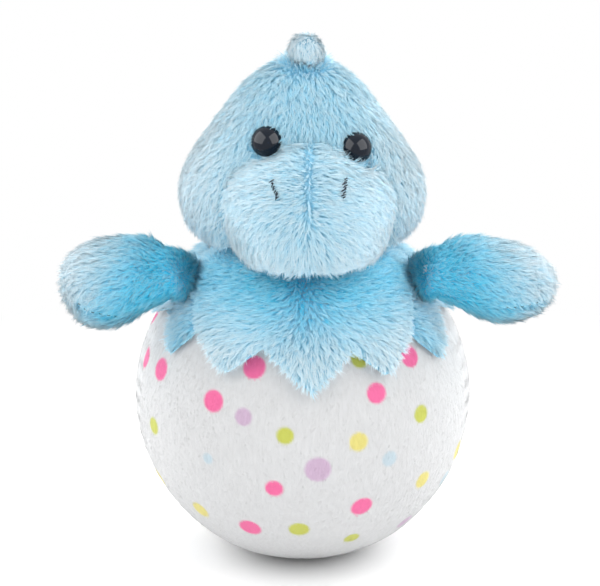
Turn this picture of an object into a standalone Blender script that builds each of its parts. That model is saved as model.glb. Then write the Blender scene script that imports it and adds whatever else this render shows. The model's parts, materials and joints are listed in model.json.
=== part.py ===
"""A plush baby dinosaur in a round egg: skins, stuffing, eyes and the pieces that let its head and arms move.

Metres, +Z up. The toy faces -Y, and the origin is the middle of the flat base that it stands on.
"""

import math

import bmesh
import bpy
import numpy as np

# Gaps between neighbouring pieces
SEAM_GAP = 0.0003
JOINT_GAP = 0.0006

# Egg
EGG_RADIUS = 0.0460
EGG_SKIN = 0.0015
BASE_RADIUS = 0.0140
NECK_OPENING = 0.0150
EGG_SEAM_ANGLE = math.radians(80)
PELLET_DEPTH = 0.0150

# Collar, a cape with a zigzag hem that lies on the egg
COLLAR_THICKNESS = 0.0022
COLLAR_OPENING = 0.0162
COLLAR_SEAM_HEM = 45
COLLAR_SEAM_NECK = 78

# Hem in front, tips and valleys by turns: degrees round from the front and height above the egg's middle
HEM_FRONT = (
    (-66.5, 0.0294),
    (-62.0, 0.0238),
    (-55.0, 0.0187),
    (-45.0, 0.0270),
    (-27.5, 0.0180),
    (-15.0, 0.0254),
    (3.0, 0.0140),
    (18.5, 0.0245),
    (30.0, 0.0170),
    (45.0, 0.0262),
    (56.5, 0.0172),
    (64.0, 0.0216),
    (71.0, 0.0294),
)
HEM_BACK_TIPS = 7
HEM_BACK_TIP_HEIGHT = 0.0248

# Neck, a round stump about the point where the head turns and nods
NECK_RADIUS = 0.0145
NECK_RISE = 0.0020
NOD_BACK = math.radians(10)
NOD_FORWARD = math.radians(5)

# Blue plush, backing and pile together
PLUSH_SKIN = 0.0025

# Head: height above the egg's crown, half width, then depth in front of and behind the section's middle
HEAD_FORWARD = 0.0030
HEAD_SECTIONS = (
    (-0.0075, 0.0, 0.0, 0.0),
    (-0.0060, 0.0190, 0.0140, 0.0180),
    (-0.0025, 0.0250, 0.0185, 0.0230),
    (0.0020, 0.0298, 0.0220, 0.0265),
    (0.0070, 0.0330, 0.0240, 0.0290),
    (0.0130, 0.0343, 0.0250, 0.0300),
    (0.0180, 0.0332, 0.0240, 0.0300),
    (0.0232, 0.0306, 0.0220, 0.0285),
    (0.0297, 0.0258, 0.0190, 0.0255),
    (0.0362, 0.0214, 0.0160, 0.0220),
    (0.0427, 0.0166, 0.0115, 0.0175),
    (0.0469, 0.0108, 0.0060, 0.0120),
    (0.0490, 0.0, 0.0, 0.0),
)

# Muzzle, in the same terms
MUZZLE_FORWARD = 0.0180
MUZZLE_SIDE = 0.0015
MUZZLE_PINCH = 0.0016
MUZZLE_PINCH_WIDTH = 0.0060
MUZZLE_SECTIONS = (
    (-0.0052, 0.0, 0.0, 0.0),
    (-0.0030, 0.0140, 0.0160, 0.0080),
    (0.0010, 0.0205, 0.0205, 0.0100),
    (0.0070, 0.0239, 0.0225, 0.0110),
    (0.0130, 0.0238, 0.0220, 0.0110),
    (0.0190, 0.0226, 0.0190, 0.0100),
    (0.0246, 0.0180, 0.0145, 0.0080),
    (0.0280, 0.0118, 0.0098, 0.0050),
    (0.0300, 0.0074, 0.0066, 0.0034),
    (0.0315, 0.0036, 0.0034, 0.0020),
    (0.0323, 0.0, 0.0, 0.0),
)

# Knob on the crown: height above the head's top, half width and depth
KNOB_SIDE = 0.0009
KNOB_SECTIONS = (
    (-0.0050, 0.0, 0.0, 0.0),
    (-0.0035, 0.0042, 0.0040, 0.0040),
    (0.0015, 0.0054, 0.0050, 0.0050),
    (0.0055, 0.0041, 0.0038, 0.0038),
    (0.0070, 0.0, 0.0, 0.0),
)

# Eyes, safety eyes whose stem goes through the skin into a washer
EYE_RADIUS = 0.0041
EYE_DOME = 0.0030
EYE_RIM = 0.0008
EYE_SINK = 0.0016
STEM_RADIUS = 0.0014
STEM_LENGTH = 0.0085
WASHER_RADIUS = 0.0048
WASHER_THICKNESS = 0.0016
EYE_PLACES = {"left": (-0.0100, 0.0304), "right": (0.0151, 0.0282)}

# Nostrils, strokes of embroidery that lean in towards the middle seam
NOSTRIL_LENGTH = 0.0055
NOSTRIL_RADIUS = 0.0009
NOSTRIL_SINK = 0.0008
NOSTRIL_LEANS = {"left": math.radians(28), "right": math.radians(16)}
NOSTRIL_PLACES = {"left": (-0.0073, 0.0214), "right": (0.0109, 0.0216)}

# Arms: distance back from the tip, half height and half thickness; the right one is more pointed
SHOULDER_RADIUS = 0.0065
SHOULDER_SINK = 0.0006
SHOULDER_AZIMUTH = math.radians(66)
SHOULDER_ELEVATION = math.radians(46)
ARM_LENGTHS = {"left": 0.0303, "right": 0.0335}
ARM_SWEEP = math.radians(5)
ARM_DROOPS = {"left": math.radians(8), "right": math.radians(6)}
ARM_ROLL = math.radians(57)
ARM_ARCH = 0.0017
ARM_ARCH_PLACE = 0.0075
ARM_ARCH_SPAN = 0.0045
ARM_SECTIONS = {
    "left": (
        (0.0260, 0.0076, 0.0066),
        (0.0222, 0.0108, 0.0084),
        (0.0180, 0.0132, 0.0093),
        (0.0130, 0.0144, 0.0097),
        (0.0080, 0.0137, 0.0092),
        (0.0040, 0.0110, 0.0074),
        (0.0013, 0.0066, 0.0046),
        (0.0, 0.0, 0.0),
    ),
    "right": (
        (0.0290, 0.0076, 0.0066),
        (0.0240, 0.0113, 0.0084),
        (0.0180, 0.0131, 0.0090),
        (0.0130, 0.0131, 0.0089),
        (0.0085, 0.0115, 0.0078),
        (0.0042, 0.0087, 0.0060),
        (0.0012, 0.0052, 0.0036),
        (0.0, 0.0, 0.0),
    ),
}
ARM_SKIN = 0.0020

# Facets
EGG_ROWS = 13
EGG_STEP = math.radians(10)
COLLAR_ROWS = 5
HEM_STEP = 6.0
HEAD_ROWS = 16
HEAD_COLUMNS = 24
KNOB_ROWS = 10
ARM_ROWS = 12
ARM_COLUMNS = 16
SMALL_COLUMNS = 14
STITCH_COLUMNS = 8
ARC_POINTS = 4
PATH_SAMPLES = 24
CUTTER_ROWS = 10
CUTTER_COLUMNS = 40

# Places that follow from the sizes above
EGG_CENTRE = np.array([0.0, 0.0, math.sqrt(EGG_RADIUS**2 - BASE_RADIUS**2)])
CROWN = EGG_CENTRE + [0.0, 0.0, EGG_RADIUS]
NECK_PIVOT = CROWN + [0.0, 0.0, NECK_RISE]
FACET_REACH = math.cos(EGG_STEP / 2) ** 2
STUFFING_RADIUS = (EGG_RADIUS - EGG_SKIN) * FACET_REACH - SEAM_GAP
COLLAR_INNER = (EGG_RADIUS + SEAM_GAP) / FACET_REACH
COLLAR_OUTER = COLLAR_INNER + COLLAR_THICKNESS

COLOURS = {
    "blue_plush": ((0.30, 0.62, 0.78), 0.9),
    "white_plush": ((0.80, 0.80, 0.80), 0.9),
    "stuffing": ((0.86, 0.86, 0.84), 0.95),
    "pellets": ((0.70, 0.72, 0.74), 0.6),
    "eye_plastic": ((0.012, 0.014, 0.018), 0.12),
    "washer_plastic": ((0.75, 0.75, 0.73), 0.5),
    "thread": ((0.03, 0.05, 0.09), 0.8),
}


def clear_scene():
    for thing in list(bpy.data.objects):
        bpy.data.objects.remove(thing, do_unlink=True)


def material(name):
    colour, roughness = COLOURS[name]
    made = bpy.data.materials.get(name) or bpy.data.materials.new(name)
    made.use_nodes = True
    shader = made.node_tree.nodes["Principled BSDF"]
    shader.inputs["Base Color"].default_value = (*colour, 1.0)
    shader.inputs["Roughness"].default_value = roughness
    shader.inputs["Metallic"].default_value = 0.0
    return made


def add_object(name, points, faces, finish=None, origin=(0.0, 0.0, 0.0)):
    """One object with its own origin; a piece without a finish is a cutter."""
    origin = np.asarray(origin, dtype=float)
    mesh = bpy.data.meshes.new(name)
    mesh.from_pydata((np.asarray(points) - origin).tolist(), [], faces)
    shape = bmesh.new()
    shape.from_mesh(mesh)
    bmesh.ops.remove_doubles(shape, verts=shape.verts, dist=1e-6)
    bmesh.ops.dissolve_degenerate(shape, edges=shape.edges, dist=1e-7)
    bmesh.ops.recalc_face_normals(shape, faces=shape.faces)
    shape.to_mesh(mesh)
    shape.free()
    made = bpy.data.objects.new(name, mesh)
    made.location = origin
    bpy.context.collection.objects.link(made)
    if finish is None:
        made.hide_render = True
        made.display_type = "WIRE"
        return made
    mesh.materials.append(material(finish))
    mesh.shade_smooth()
    return made


def combine(target, other, operation="DIFFERENCE"):
    step = target.modifiers.new(f"{operation.lower()}_{other.name}", "BOOLEAN")
    step.operation = operation
    step.solver = "EXACT"
    step.object = other


def smooth_path(stations, count):
    """Points at even steps along a smooth curve through the stations, round where it meets the axis."""
    known = np.asarray(stations, dtype=float)
    before = known[1] * ([1.0] + [-1.0] * (known.shape[1] - 1))
    after = known[-2] * ([1.0] + [-1.0] * (known.shape[1] - 1))
    knots = np.vstack([before, known, after])
    fine = []
    for a, b, c, d in zip(knots, knots[1:], knots[2:], knots[3:]):
        for t in np.linspace(0.0, 1.0, PATH_SAMPLES, endpoint=False):
            fine.append(
                b + 0.5 * t * (c - a + t * (2 * a - 5 * b + 4 * c - d + t * (3 * (b - c) + d - a)))
            )
    fine = np.array([*fine, known[-1]])
    steps = np.linalg.norm(np.diff(fine[:, :2], axis=0), axis=1)
    run = np.concatenate([[0.0], np.cumsum(steps)])
    wanted = np.linspace(0.0, run[-1], count + 1)
    return np.stack([np.interp(wanted, run, column) for column in fine.T], axis=1)


def inset(rings, distance):
    """The grid of closed rings moved inwards along its normals; its first and last rings are poles."""
    around = np.roll(rings, -1, axis=1) - np.roll(rings, 1, axis=1)
    along = np.gradient(rings, axis=0)
    normals = np.cross(around, along)
    normals[0] = normals[1].mean(axis=0)
    normals[-1] = normals[-2].mean(axis=0)
    normals /= np.linalg.norm(normals, axis=2, keepdims=True)
    middle = rings.mean(axis=(0, 1))
    if np.sum(normals * (rings - middle)) < 0:
        normals = -normals
    return rings - distance * normals


def skull_rings(sections, middle, rows, columns, pinch=None):
    """Level rings through the sections of the head, muzzle or knob, from the front round by +X."""
    rings = []
    for height, width, front, back in smooth_path(sections, rows):
        turn = np.linspace(0.0, 2 * math.pi, columns, endpoint=False)
        depth = np.where(np.cos(turn) > 0, front, back)
        x = width * np.sin(turn)
        y = -depth * np.cos(turn)
        if pinch:
            most, spread = pinch
            share = front / max(section[2] for section in sections)
            y += most * share * np.exp(-((x / spread) ** 2)) * (np.cos(turn) > 0)
        rings.append(np.stack([x, y, np.full_like(x, height)], axis=1))
    return np.array(rings) + middle


def ring_faces(rows, columns):
    faces = []
    for i in range(rows):
        for j in range(columns):
            k = (j + 1) % columns
            faces.append((i * columns + j, i * columns + k, (i + 1) * columns + k, (i + 1) * columns + j))
    return faces


def closed_rings(name, rings, finish=None, origin=(0.0, 0.0, 0.0)):
    """A solid from a stack of closed rings, with both end rings drawn to a point or filled."""
    rows, columns, _ = rings.shape
    faces = ring_faces(rows - 1, columns)
    faces.append(tuple(range(columns)))
    faces.append(tuple(range((rows - 1) * columns, rows * columns)))
    return add_object(name, rings.reshape(-1, 3), faces, finish, origin)


def thick_panel(name, outer, inner, finish, origin=(0.0, 0.0, 0.0)):
    """A closed solid between two like grids of points, an outer and an inner one."""
    rows, columns, _ = outer.shape
    size = rows * columns
    faces = []
    for i in range(rows - 1):
        for j in range(columns - 1):
            a = i * columns + j
            quad = (a, a + 1, a + columns + 1, a + columns)
            faces.append(quad)
            faces.append(tuple(size + k for k in reversed(quad)))
    edge = list(range(columns))
    edge += [i * columns + columns - 1 for i in range(1, rows)]
    edge += [size - 1 - j for j in range(1, columns)]
    edge += [(rows - 1 - i) * columns for i in range(1, rows - 1)]
    for a, b in zip(edge, edge[1:] + edge[:1]):
        faces.append((b, a, size + a, size + b))
    points = np.concatenate([outer.reshape(-1, 3), inner.reshape(-1, 3)])
    return add_object(name, points, faces, finish, origin)


def turned(name, profile, place, axis, columns, finish=None, origin=(0.0, 0.0, 0.0)):
    """A solid turned about an axis from (distance along it, radius) points that start and end on the axis."""
    axis = np.asarray(axis, dtype=float)
    axis /= np.linalg.norm(axis)
    side = np.cross(axis, [0.0, 0.0, 1.0] if abs(axis[2]) < 0.9 else [1.0, 0.0, 0.0])
    side /= np.linalg.norm(side)
    other = np.cross(axis, side)
    turn = np.linspace(0.0, 2 * math.pi, columns, endpoint=False)
    circle = np.cos(turn)[:, None] * side + np.sin(turn)[:, None] * other
    rings = np.array([place + along * axis + radius * circle for along, radius in profile])
    return closed_rings(name, rings, finish, origin)


def arc(radius, start, end, count, offset=0.0):
    """(distance along the axis, radius) points of an arc, with angles from the axis."""
    angles = np.linspace(start, end, count)
    return [(offset + radius * math.cos(a), radius * math.sin(a)) for a in angles]


def sphere_grid(radius, polar, azimuth):
    """Points on the egg's sphere; azimuth 0 is in front and grows towards +X."""
    return EGG_CENTRE + radius * np.stack(
        [np.sin(polar) * np.sin(azimuth), -np.sin(polar) * np.cos(azimuth), np.cos(polar)], axis=-1
    )


def sphere_panel(name, radii, polar, azimuth, finish):
    outer_radius, inner_radius = radii
    trim = np.zeros_like(azimuth)
    trim[:, 0] = 1.0
    trim[:, -1] = -1.0
    azimuth = azimuth + trim * 0.5 * SEAM_GAP / (inner_radius * np.sin(polar))
    outer = sphere_grid(outer_radius, polar, azimuth)
    inner = sphere_grid(inner_radius, polar, azimuth)
    return thick_panel(name, outer, inner, finish)


def build_egg():
    low = math.pi - math.asin((BASE_RADIUS + SEAM_GAP) / EGG_RADIUS)
    high = math.asin(NECK_OPENING / EGG_RADIUS)
    spans = {
        "egg_front_panel": (-EGG_SEAM_ANGLE, EGG_SEAM_ANGLE),
        "egg_back_panel": (EGG_SEAM_ANGLE, 2 * math.pi - EGG_SEAM_ANGLE),
    }
    for name, (start, end) in spans.items():
        count = round((end - start) / EGG_STEP)
        polar, azimuth = np.meshgrid(
            np.linspace(high, low, EGG_ROWS + 1), np.linspace(start, end, count + 1), indexing="ij"
        )
        sphere_panel(name, (EGG_RADIUS, EGG_RADIUS - EGG_SKIN), polar, azimuth, "white_plush")

    rim = BASE_RADIUS - EGG_SKIN
    base = [(0.0, 0.0), (0.0, rim), (EGG_SKIN, BASE_RADIUS - SEAM_GAP), (EGG_SKIN, 0.0)]
    turned("egg_base_panel", base, np.zeros(3), (0, 0, 1), 2 * SMALL_COLUMNS, "white_plush")

    floor = EGG_SKIN + SEAM_GAP
    split = floor + PELLET_DEPTH
    filling = {
        "pellet_bag": (floor, split, "pellets"),
        "body_stuffing": (split + SEAM_GAP, EGG_CENTRE[2] + STUFFING_RADIUS, "stuffing"),
    }
    for name, (bottom, top, finish) in filling.items():
        levels = (np.array([bottom, top]) - EGG_CENTRE[2]) / STUFFING_RADIUS
        start, end = np.arccos(np.clip(levels, -1.0, 1.0))
        count = max(ARC_POINTS, round((start - end) / EGG_STEP))
        profile = arc(STUFFING_RADIUS, start, end, count, EGG_CENTRE[2])
        profile = [(bottom, 0.0), *profile, (top, 0.0)]
        turned(name, profile, np.zeros(3), (0, 0, 1), 2 * SMALL_COLUMNS, finish)


def hem_knots():
    """Azimuths and heights of the hem's tips and valleys all the way round, from the front by +X."""
    start, end = HEM_FRONT[-1][0], 360.0 + HEM_FRONT[0][0]
    behind = np.linspace(start, end, 2 * HEM_BACK_TIPS + 1)
    heights = np.where(np.arange(len(behind)) % 2, HEM_BACK_TIP_HEIGHT, HEM_FRONT[-1][1])
    front = np.array(HEM_FRONT)
    ahead = front[:, 0] > 0
    azimuths = np.concatenate([front[ahead, 0], behind[1:-1], front[~ahead, 0] + 360.0])
    return azimuths, np.concatenate([front[ahead, 1], heights[1:-1], front[~ahead, 1]])


def hem_columns(start, end):
    """Azimuths between two turns in degrees, with a column at each of the hem's knots."""
    knots = hem_knots()[0]
    knots = np.concatenate([knots - 360.0, knots])
    stops = [start, *knots[(knots > start + 0.5) & (knots < end - 0.5)], end]
    columns = [start]
    for a, b in zip(stops, stops[1:]):
        columns += np.linspace(a, b, math.ceil((b - a) / HEM_STEP) + 1)[1:].tolist()
    return np.array(columns)


def build_collar():
    """The front and back of the cape. Their seam slants back from the hem to the shoulder."""
    top = math.asin(COLLAR_OPENING / COLLAR_INNER)
    knots, heights = hem_knots()
    share = np.linspace(0.0, 1.0, COLLAR_ROWS + 1)[:, None]
    panels = {}
    for name, middle in (("collar_front", 0), ("collar_back", 180)):
        at_hem = abs(middle - COLLAR_SEAM_HEM)
        at_neck = abs(middle - COLLAR_SEAM_NECK)
        turns = hem_columns(middle - at_hem, middle + at_hem)
        hem = np.arccos(np.interp(turns % 360.0, knots, heights, period=360.0) / COLLAR_OUTER)
        polar = top + share * (hem[None, :] - top)
        spread = (at_neck + share * (at_hem - at_neck)) / at_hem
        azimuth = np.radians(middle + spread * (turns - middle)[None, :])
        panels[name] = sphere_panel(name, (COLLAR_OUTER, COLLAR_INNER), polar, azimuth, "blue_plush")
    return panels


def build_neck():
    """A ball about the pivot that sits in the egg's neck opening, on the stuffing."""
    seat = STUFFING_RADIUS + SEAM_GAP
    reach = NECK_PIVOT[2] - EGG_CENTRE[2]
    level = (seat**2 - NECK_RADIUS**2 + reach**2) / (2 * reach)
    seat_angle = math.acos(level / seat)
    ball_angle = math.acos((level - reach) / NECK_RADIUS)
    profile = arc(seat, 0.0, seat_angle, ARC_POINTS, -reach)
    profile += arc(NECK_RADIUS, ball_angle, 0.0, 2 * ARC_POINTS)[1:]
    turned("neck_plug", profile, NECK_PIVOT, (0, 0, 1), 2 * SMALL_COLUMNS, "blue_plush", NECK_PIVOT)


def egg_clearance():
    """The room that the egg and collar need under the head over its whole nod, as a round-ended bar."""
    reach = NECK_PIVOT[2] - EGG_CENTRE[2]

    # Seen from the head, the egg swings the other way about the neck
    def swung(nod):
        return NECK_PIVOT + [0.0, reach * math.sin(nod), -reach * math.cos(nod)]

    front = swung(-NOD_FORWARD)
    back = swung(NOD_BACK)
    radius = COLLAR_OUTER + 2 * JOINT_GAP
    length = np.linalg.norm(back - front)
    profile = arc(radius, math.pi, math.pi / 2, CUTTER_ROWS)
    profile += arc(radius, math.pi / 2, 0.0, CUTTER_ROWS, length)
    return turned("egg_clearance_cutter", profile, front, back - front, CUTTER_COLUMNS)


def surface_at(rings, x, height):
    """The front point of a stack of level rings at a side offset and height, and the normal there."""
    front = []
    for ring in rings[1:-1]:
        half = ring[ring[:, 1] <= ring[:, 1][np.argmax(ring[:, 0])] + 1e-9]
        half = half[np.argsort(half[:, 0])]
        front.append((ring[0, 2], half))
    levels = [level for level, _ in front]

    def depth(side, up):
        ys = [np.interp(side, half[:, 0], half[:, 1]) for _, half in front]
        return float(np.interp(up, levels, ys))

    near = STEM_RADIUS
    across = (depth(x + near, height) - depth(x - near, height)) / (2 * near)
    upward = (depth(x, height + near) - depth(x, height - near)) / (2 * near)
    normal = np.array([across, -1.0, upward])
    return np.array([x, depth(x, height), height]), normal / np.linalg.norm(normal)


def half_panels(stem, rings, skin, middle_x, finish):
    """Left and right skins, cut along the plane of the middle seam."""
    columns = rings.shape[1]
    half = columns // 2
    inner = inset(rings, skin)
    halves = {}
    right_limits = (middle_x + SEAM_GAP / 2, math.inf)
    left_limits = (-math.inf, middle_x - SEAM_GAP / 2)
    for side, start, limits in (("right", 0, right_limits), ("left", half, left_limits)):
        pick = [j % columns for j in range(start, start + half + 1)]
        pair = [rings[:, pick].copy(), inner[:, pick].copy()]
        for grid in pair:
            grid[:, :, 0] = np.clip(grid[:, :, 0], *limits)
        halves[side] = thick_panel(f"{stem}_{side}", *pair, finish, NECK_PIVOT)
    return halves


def build_head(clearance):
    head_middle = CROWN + [0.0, -HEAD_FORWARD, 0.0]
    muzzle_middle = CROWN + [MUZZLE_SIDE, -MUZZLE_FORWARD, 0.0]
    pinch = (MUZZLE_PINCH, MUZZLE_PINCH_WIDTH)
    head = skull_rings(HEAD_SECTIONS, head_middle, HEAD_ROWS, HEAD_COLUMNS)
    muzzle = skull_rings(MUZZLE_SECTIONS, muzzle_middle, HEAD_ROWS, HEAD_COLUMNS, pinch)

    head_cutter = closed_rings("head_cutter", inset(head, -SEAM_GAP))
    muzzle_cutter = closed_rings("muzzle_cutter", inset(muzzle, -SEAM_GAP))
    socket = turned(
        "neck_socket_cutter",
        arc(NECK_RADIUS + JOINT_GAP, math.pi, 0.0, 3 * ARC_POINTS),
        NECK_PIVOT,
        (0, 0, 1),
        2 * SMALL_COLUMNS,
    )

    head_panels = half_panels("head_panel", head, PLUSH_SKIN, 0.0, "blue_plush")
    for panel in head_panels.values():
        combine(panel, clearance)
        combine(panel, muzzle_cutter)
    muzzle_panels = half_panels("muzzle_panel", muzzle, PLUSH_SKIN, MUZZLE_SIDE, "blue_plush")
    for panel in muzzle_panels.values():
        combine(panel, head_cutter)
        combine(panel, clearance)

    depth = PLUSH_SKIN + SEAM_GAP
    stuffing = closed_rings("head_stuffing", inset(head, depth), "stuffing", NECK_PIVOT)
    muzzle_fill = closed_rings("muzzle_fill", inset(muzzle, depth))
    combine(stuffing, muzzle_fill, "UNION")
    combine(stuffing, clearance)
    combine(stuffing, socket)

    knob_middle = CROWN + [KNOB_SIDE, -HEAD_FORWARD, HEAD_SECTIONS[-1][0]]
    knob_rings = skull_rings(KNOB_SECTIONS, knob_middle, KNOB_ROWS, SMALL_COLUMNS)
    knob = closed_rings("crest_knob", knob_rings, "blue_plush", NECK_PIVOT)
    combine(knob, head_cutter)

    for side in ("left", "right"):
        build_eye(side, head, (head_panels[side], muzzle_panels[side]), stuffing)
        build_nostril(side, muzzle, muzzle_panels[side])


def build_eye(side, head, panels, stuffing):
    x, height = EYE_PLACES[side]
    point, normal = surface_at(head, x, CROWN[2] + height)
    seat = point - EYE_SINK * normal
    curve = (EYE_RADIUS**2 + EYE_DOME**2) / (2 * EYE_DOME)
    dome = arc(curve, math.asin(EYE_RADIUS / curve), 0.0, ARC_POINTS + 2, EYE_RIM + EYE_DOME - curve)
    profile = [(-STEM_LENGTH, 0.0), (-STEM_LENGTH, STEM_RADIUS), (0.0, STEM_RADIUS), (0.0, EYE_RADIUS), *dome]
    turned(f"eye_{side}", profile, seat, normal, SMALL_COLUMNS, "eye_plastic", NECK_PIVOT)

    washer_top = EYE_SINK - PLUSH_SKIN - 2 * SEAM_GAP
    washer_low = washer_top - WASHER_THICKNESS
    hole = STEM_RADIUS + SEAM_GAP
    build_washer(side, washer_low, washer_top, hole, seat, normal)

    deep = -STEM_LENGTH - SEAM_GAP
    proud = EYE_SINK + EYE_DOME
    pocket = [
        (deep, 0.0),
        (deep, hole),
        (-SEAM_GAP, hole),
        (-SEAM_GAP, EYE_RADIUS + SEAM_GAP),
        (proud, EYE_RADIUS + SEAM_GAP),
        (proud, 0.0),
    ]
    eye_pocket = turned(f"eye_pocket_{side}", pocket, seat, normal, SMALL_COLUMNS)
    for panel in panels:
        combine(panel, eye_pocket)
    room = WASHER_RADIUS + SEAM_GAP
    inner_low = washer_low - SEAM_GAP
    inner = [(deep, 0.0), (deep, hole), (inner_low, hole), (inner_low, room), (proud, room), (proud, 0.0)]
    combine(stuffing, turned(f"washer_pocket_{side}", inner, seat, normal, SMALL_COLUMNS))


def build_washer(side, low, top, hole, seat, normal):
    """A disc with a bore for the eye's stem."""
    disc = [(low, 0.0), (low, WASHER_RADIUS), (top, WASHER_RADIUS), (top, 0.0)]
    washer = turned(f"eye_washer_{side}", disc, seat, normal, SMALL_COLUMNS, "washer_plastic", NECK_PIVOT)
    start = low - SEAM_GAP
    end = top + SEAM_GAP
    bore = [(start, 0.0), (start, hole), (end, hole), (end, 0.0)]
    combine(washer, turned(f"washer_bore_{side}", bore, seat, normal, SMALL_COLUMNS))


def build_nostril(side, muzzle, panel):
    """A short round stroke of thread, sunk into the pile, with a groove for it in the muzzle's skin."""
    x, height = NOSTRIL_PLACES[side]
    point, normal = surface_at(muzzle, x, CROWN[2] + height)
    sign = 1.0 if side == "left" else -1.0
    across = np.cross(normal, [0.0, 0.0, 1.0])
    across /= np.linalg.norm(across)
    down = np.cross(across, normal)
    lean = NOSTRIL_LEANS[side]
    axis = sign * math.sin(lean) * across + math.cos(lean) * down
    place = point + (NOSTRIL_RADIUS - NOSTRIL_SINK - SEAM_GAP) * normal
    half = NOSTRIL_LENGTH / 2 - NOSTRIL_RADIUS

    def capsule(radius):
        tail = arc(radius, math.pi, math.pi / 2, ARC_POINTS, -half)
        return tail + arc(radius, math.pi / 2, 0.0, ARC_POINTS, half)

    turned(f"nostril_{side}", capsule(NOSTRIL_RADIUS), place, axis, STITCH_COLUMNS, "thread", NECK_PIVOT)
    groove = capsule(NOSTRIL_RADIUS + SEAM_GAP)
    combine(panel, turned(f"nostril_groove_{side}", groove, place, axis, STITCH_COLUMNS))


def shoulder(sign):
    reach = COLLAR_OUTER + SHOULDER_RADIUS - SHOULDER_SINK
    return sphere_grid(reach, math.pi / 2 - SHOULDER_ELEVATION, sign * SHOULDER_AZIMUTH)


def build_arm(side, sign, collar):
    pivot = shoulder(sign)
    outward = np.array([sign * math.cos(ARM_SWEEP), -math.sin(ARM_SWEEP), -math.tan(ARM_DROOPS[side])])
    outward /= np.linalg.norm(outward)
    upright = np.array([0.0, math.sin(ARM_ROLL), math.cos(ARM_ROLL)])
    upright -= outward * np.dot(upright, outward)
    upright /= np.linalg.norm(upright)
    facing = np.cross(outward, upright)
    if facing[1] > 0:
        facing = -facing

    def arch(along):
        """The lift of the arm's middle between the shoulder and the paddle."""
        rise = ARM_ARCH * math.exp(-(((along - ARM_ARCH_PLACE) / ARM_ARCH_SPAN) ** 2))
        return np.array([0.0, 0.0, rise])

    root = [
        (-SHOULDER_RADIUS * math.cos(a), *(SHOULDER_RADIUS * math.sin(a),) * 2)
        for a in np.linspace(0.0, math.pi / 2, ARC_POINTS)[:-1]
    ]
    length = ARM_LENGTHS[side]
    paddle = [(length - back, tall, thick) for back, tall, thick in ARM_SECTIONS[side]]
    stations = [*root, (0.0, SHOULDER_RADIUS, SHOULDER_RADIUS), *paddle]
    turn = np.linspace(0.0, 2 * math.pi, ARM_COLUMNS, endpoint=False)
    rings = np.array(
        [
            pivot
            + along * outward
            + arch(along)
            + tall * np.cos(turn)[:, None] * upright
            + thick * np.sin(turn)[:, None] * facing
            for along, tall, thick in smooth_path(stations, ARM_ROWS)
        ]
    )
    inner = inset(rings, ARM_SKIN)
    half = ARM_COLUMNS // 2
    for face, order in (("front", range(0, half + 1)), ("back", range(half, ARM_COLUMNS + 1))):
        pick = [j % ARM_COLUMNS for j in order]
        shift = facing * (SEAM_GAP / 2 if face == "front" else -SEAM_GAP / 2)
        thick_panel(
            f"arm_{side}_{face}_panel", rings[:, pick] + shift, inner[:, pick] + shift, "blue_plush", pivot
        )
    core = inset(rings, ARM_SKIN + SEAM_GAP)
    closed_rings(f"arm_{side}_stuffing", core, "stuffing", pivot)

    dimple = turned(
        f"shoulder_dimple_{side}",
        arc(SHOULDER_RADIUS + JOINT_GAP, math.pi, 0.0, 3 * ARC_POINTS),
        pivot,
        outward,
        2 * SMALL_COLUMNS,
    )
    for panel in collar.values():
        combine(panel, dimple)


def main():
    clear_scene()
    build_egg()
    collar = build_collar()
    build_neck()
    build_head(egg_clearance())
    for side, sign in (("left", -1.0), ("right", 1.0)):
        build_arm(side, sign, collar)


main()
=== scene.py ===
"""Looks of a plush baby dinosaur in a dotted egg: stuffed skins under combed pile, glossy eyes and thread.

The toy faces -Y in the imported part's frame, in metres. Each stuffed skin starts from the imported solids,
swells under simulated pressure between its seams, and carries strands of pile that follow a combing.
"""

import json
import math
from collections import namedtuple

import bpy
import numpy as np
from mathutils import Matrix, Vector
from mathutils.bvhtree import BVHTree
from mathutils.kdtree import KDTree

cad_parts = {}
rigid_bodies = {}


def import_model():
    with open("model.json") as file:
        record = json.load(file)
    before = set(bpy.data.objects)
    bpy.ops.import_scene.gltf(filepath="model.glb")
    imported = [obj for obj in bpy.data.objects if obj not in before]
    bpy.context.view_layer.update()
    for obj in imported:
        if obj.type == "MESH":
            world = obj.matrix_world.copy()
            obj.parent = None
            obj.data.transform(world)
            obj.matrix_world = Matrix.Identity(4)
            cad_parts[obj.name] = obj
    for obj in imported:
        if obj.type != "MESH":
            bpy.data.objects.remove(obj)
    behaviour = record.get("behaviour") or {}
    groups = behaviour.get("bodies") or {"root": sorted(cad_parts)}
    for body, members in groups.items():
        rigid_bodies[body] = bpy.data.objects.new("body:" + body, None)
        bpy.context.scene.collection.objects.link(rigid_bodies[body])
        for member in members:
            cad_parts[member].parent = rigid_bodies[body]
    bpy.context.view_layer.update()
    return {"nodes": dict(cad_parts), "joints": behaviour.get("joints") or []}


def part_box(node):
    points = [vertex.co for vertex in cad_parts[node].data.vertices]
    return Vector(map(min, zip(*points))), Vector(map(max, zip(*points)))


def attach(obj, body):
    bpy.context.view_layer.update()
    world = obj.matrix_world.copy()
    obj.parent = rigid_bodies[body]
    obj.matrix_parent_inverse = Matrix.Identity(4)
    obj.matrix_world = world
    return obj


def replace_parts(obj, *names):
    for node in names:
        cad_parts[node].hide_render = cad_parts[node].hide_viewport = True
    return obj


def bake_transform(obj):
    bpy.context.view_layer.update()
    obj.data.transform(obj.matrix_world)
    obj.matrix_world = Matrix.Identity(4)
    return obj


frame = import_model()

MM = 0.001
SEED = 20
Z_AXIS = np.array([0.0, 0.0, 1.0])

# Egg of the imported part
EGG_RADIUS = 0.0460
BASE_RADIUS = 0.0140
EGG_CENTRE = np.array([0.0, 0.0, math.sqrt(EGG_RADIUS**2 - BASE_RADIUS**2)])
EGG_SEAM_AZIMUTH = math.radians(80)

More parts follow.
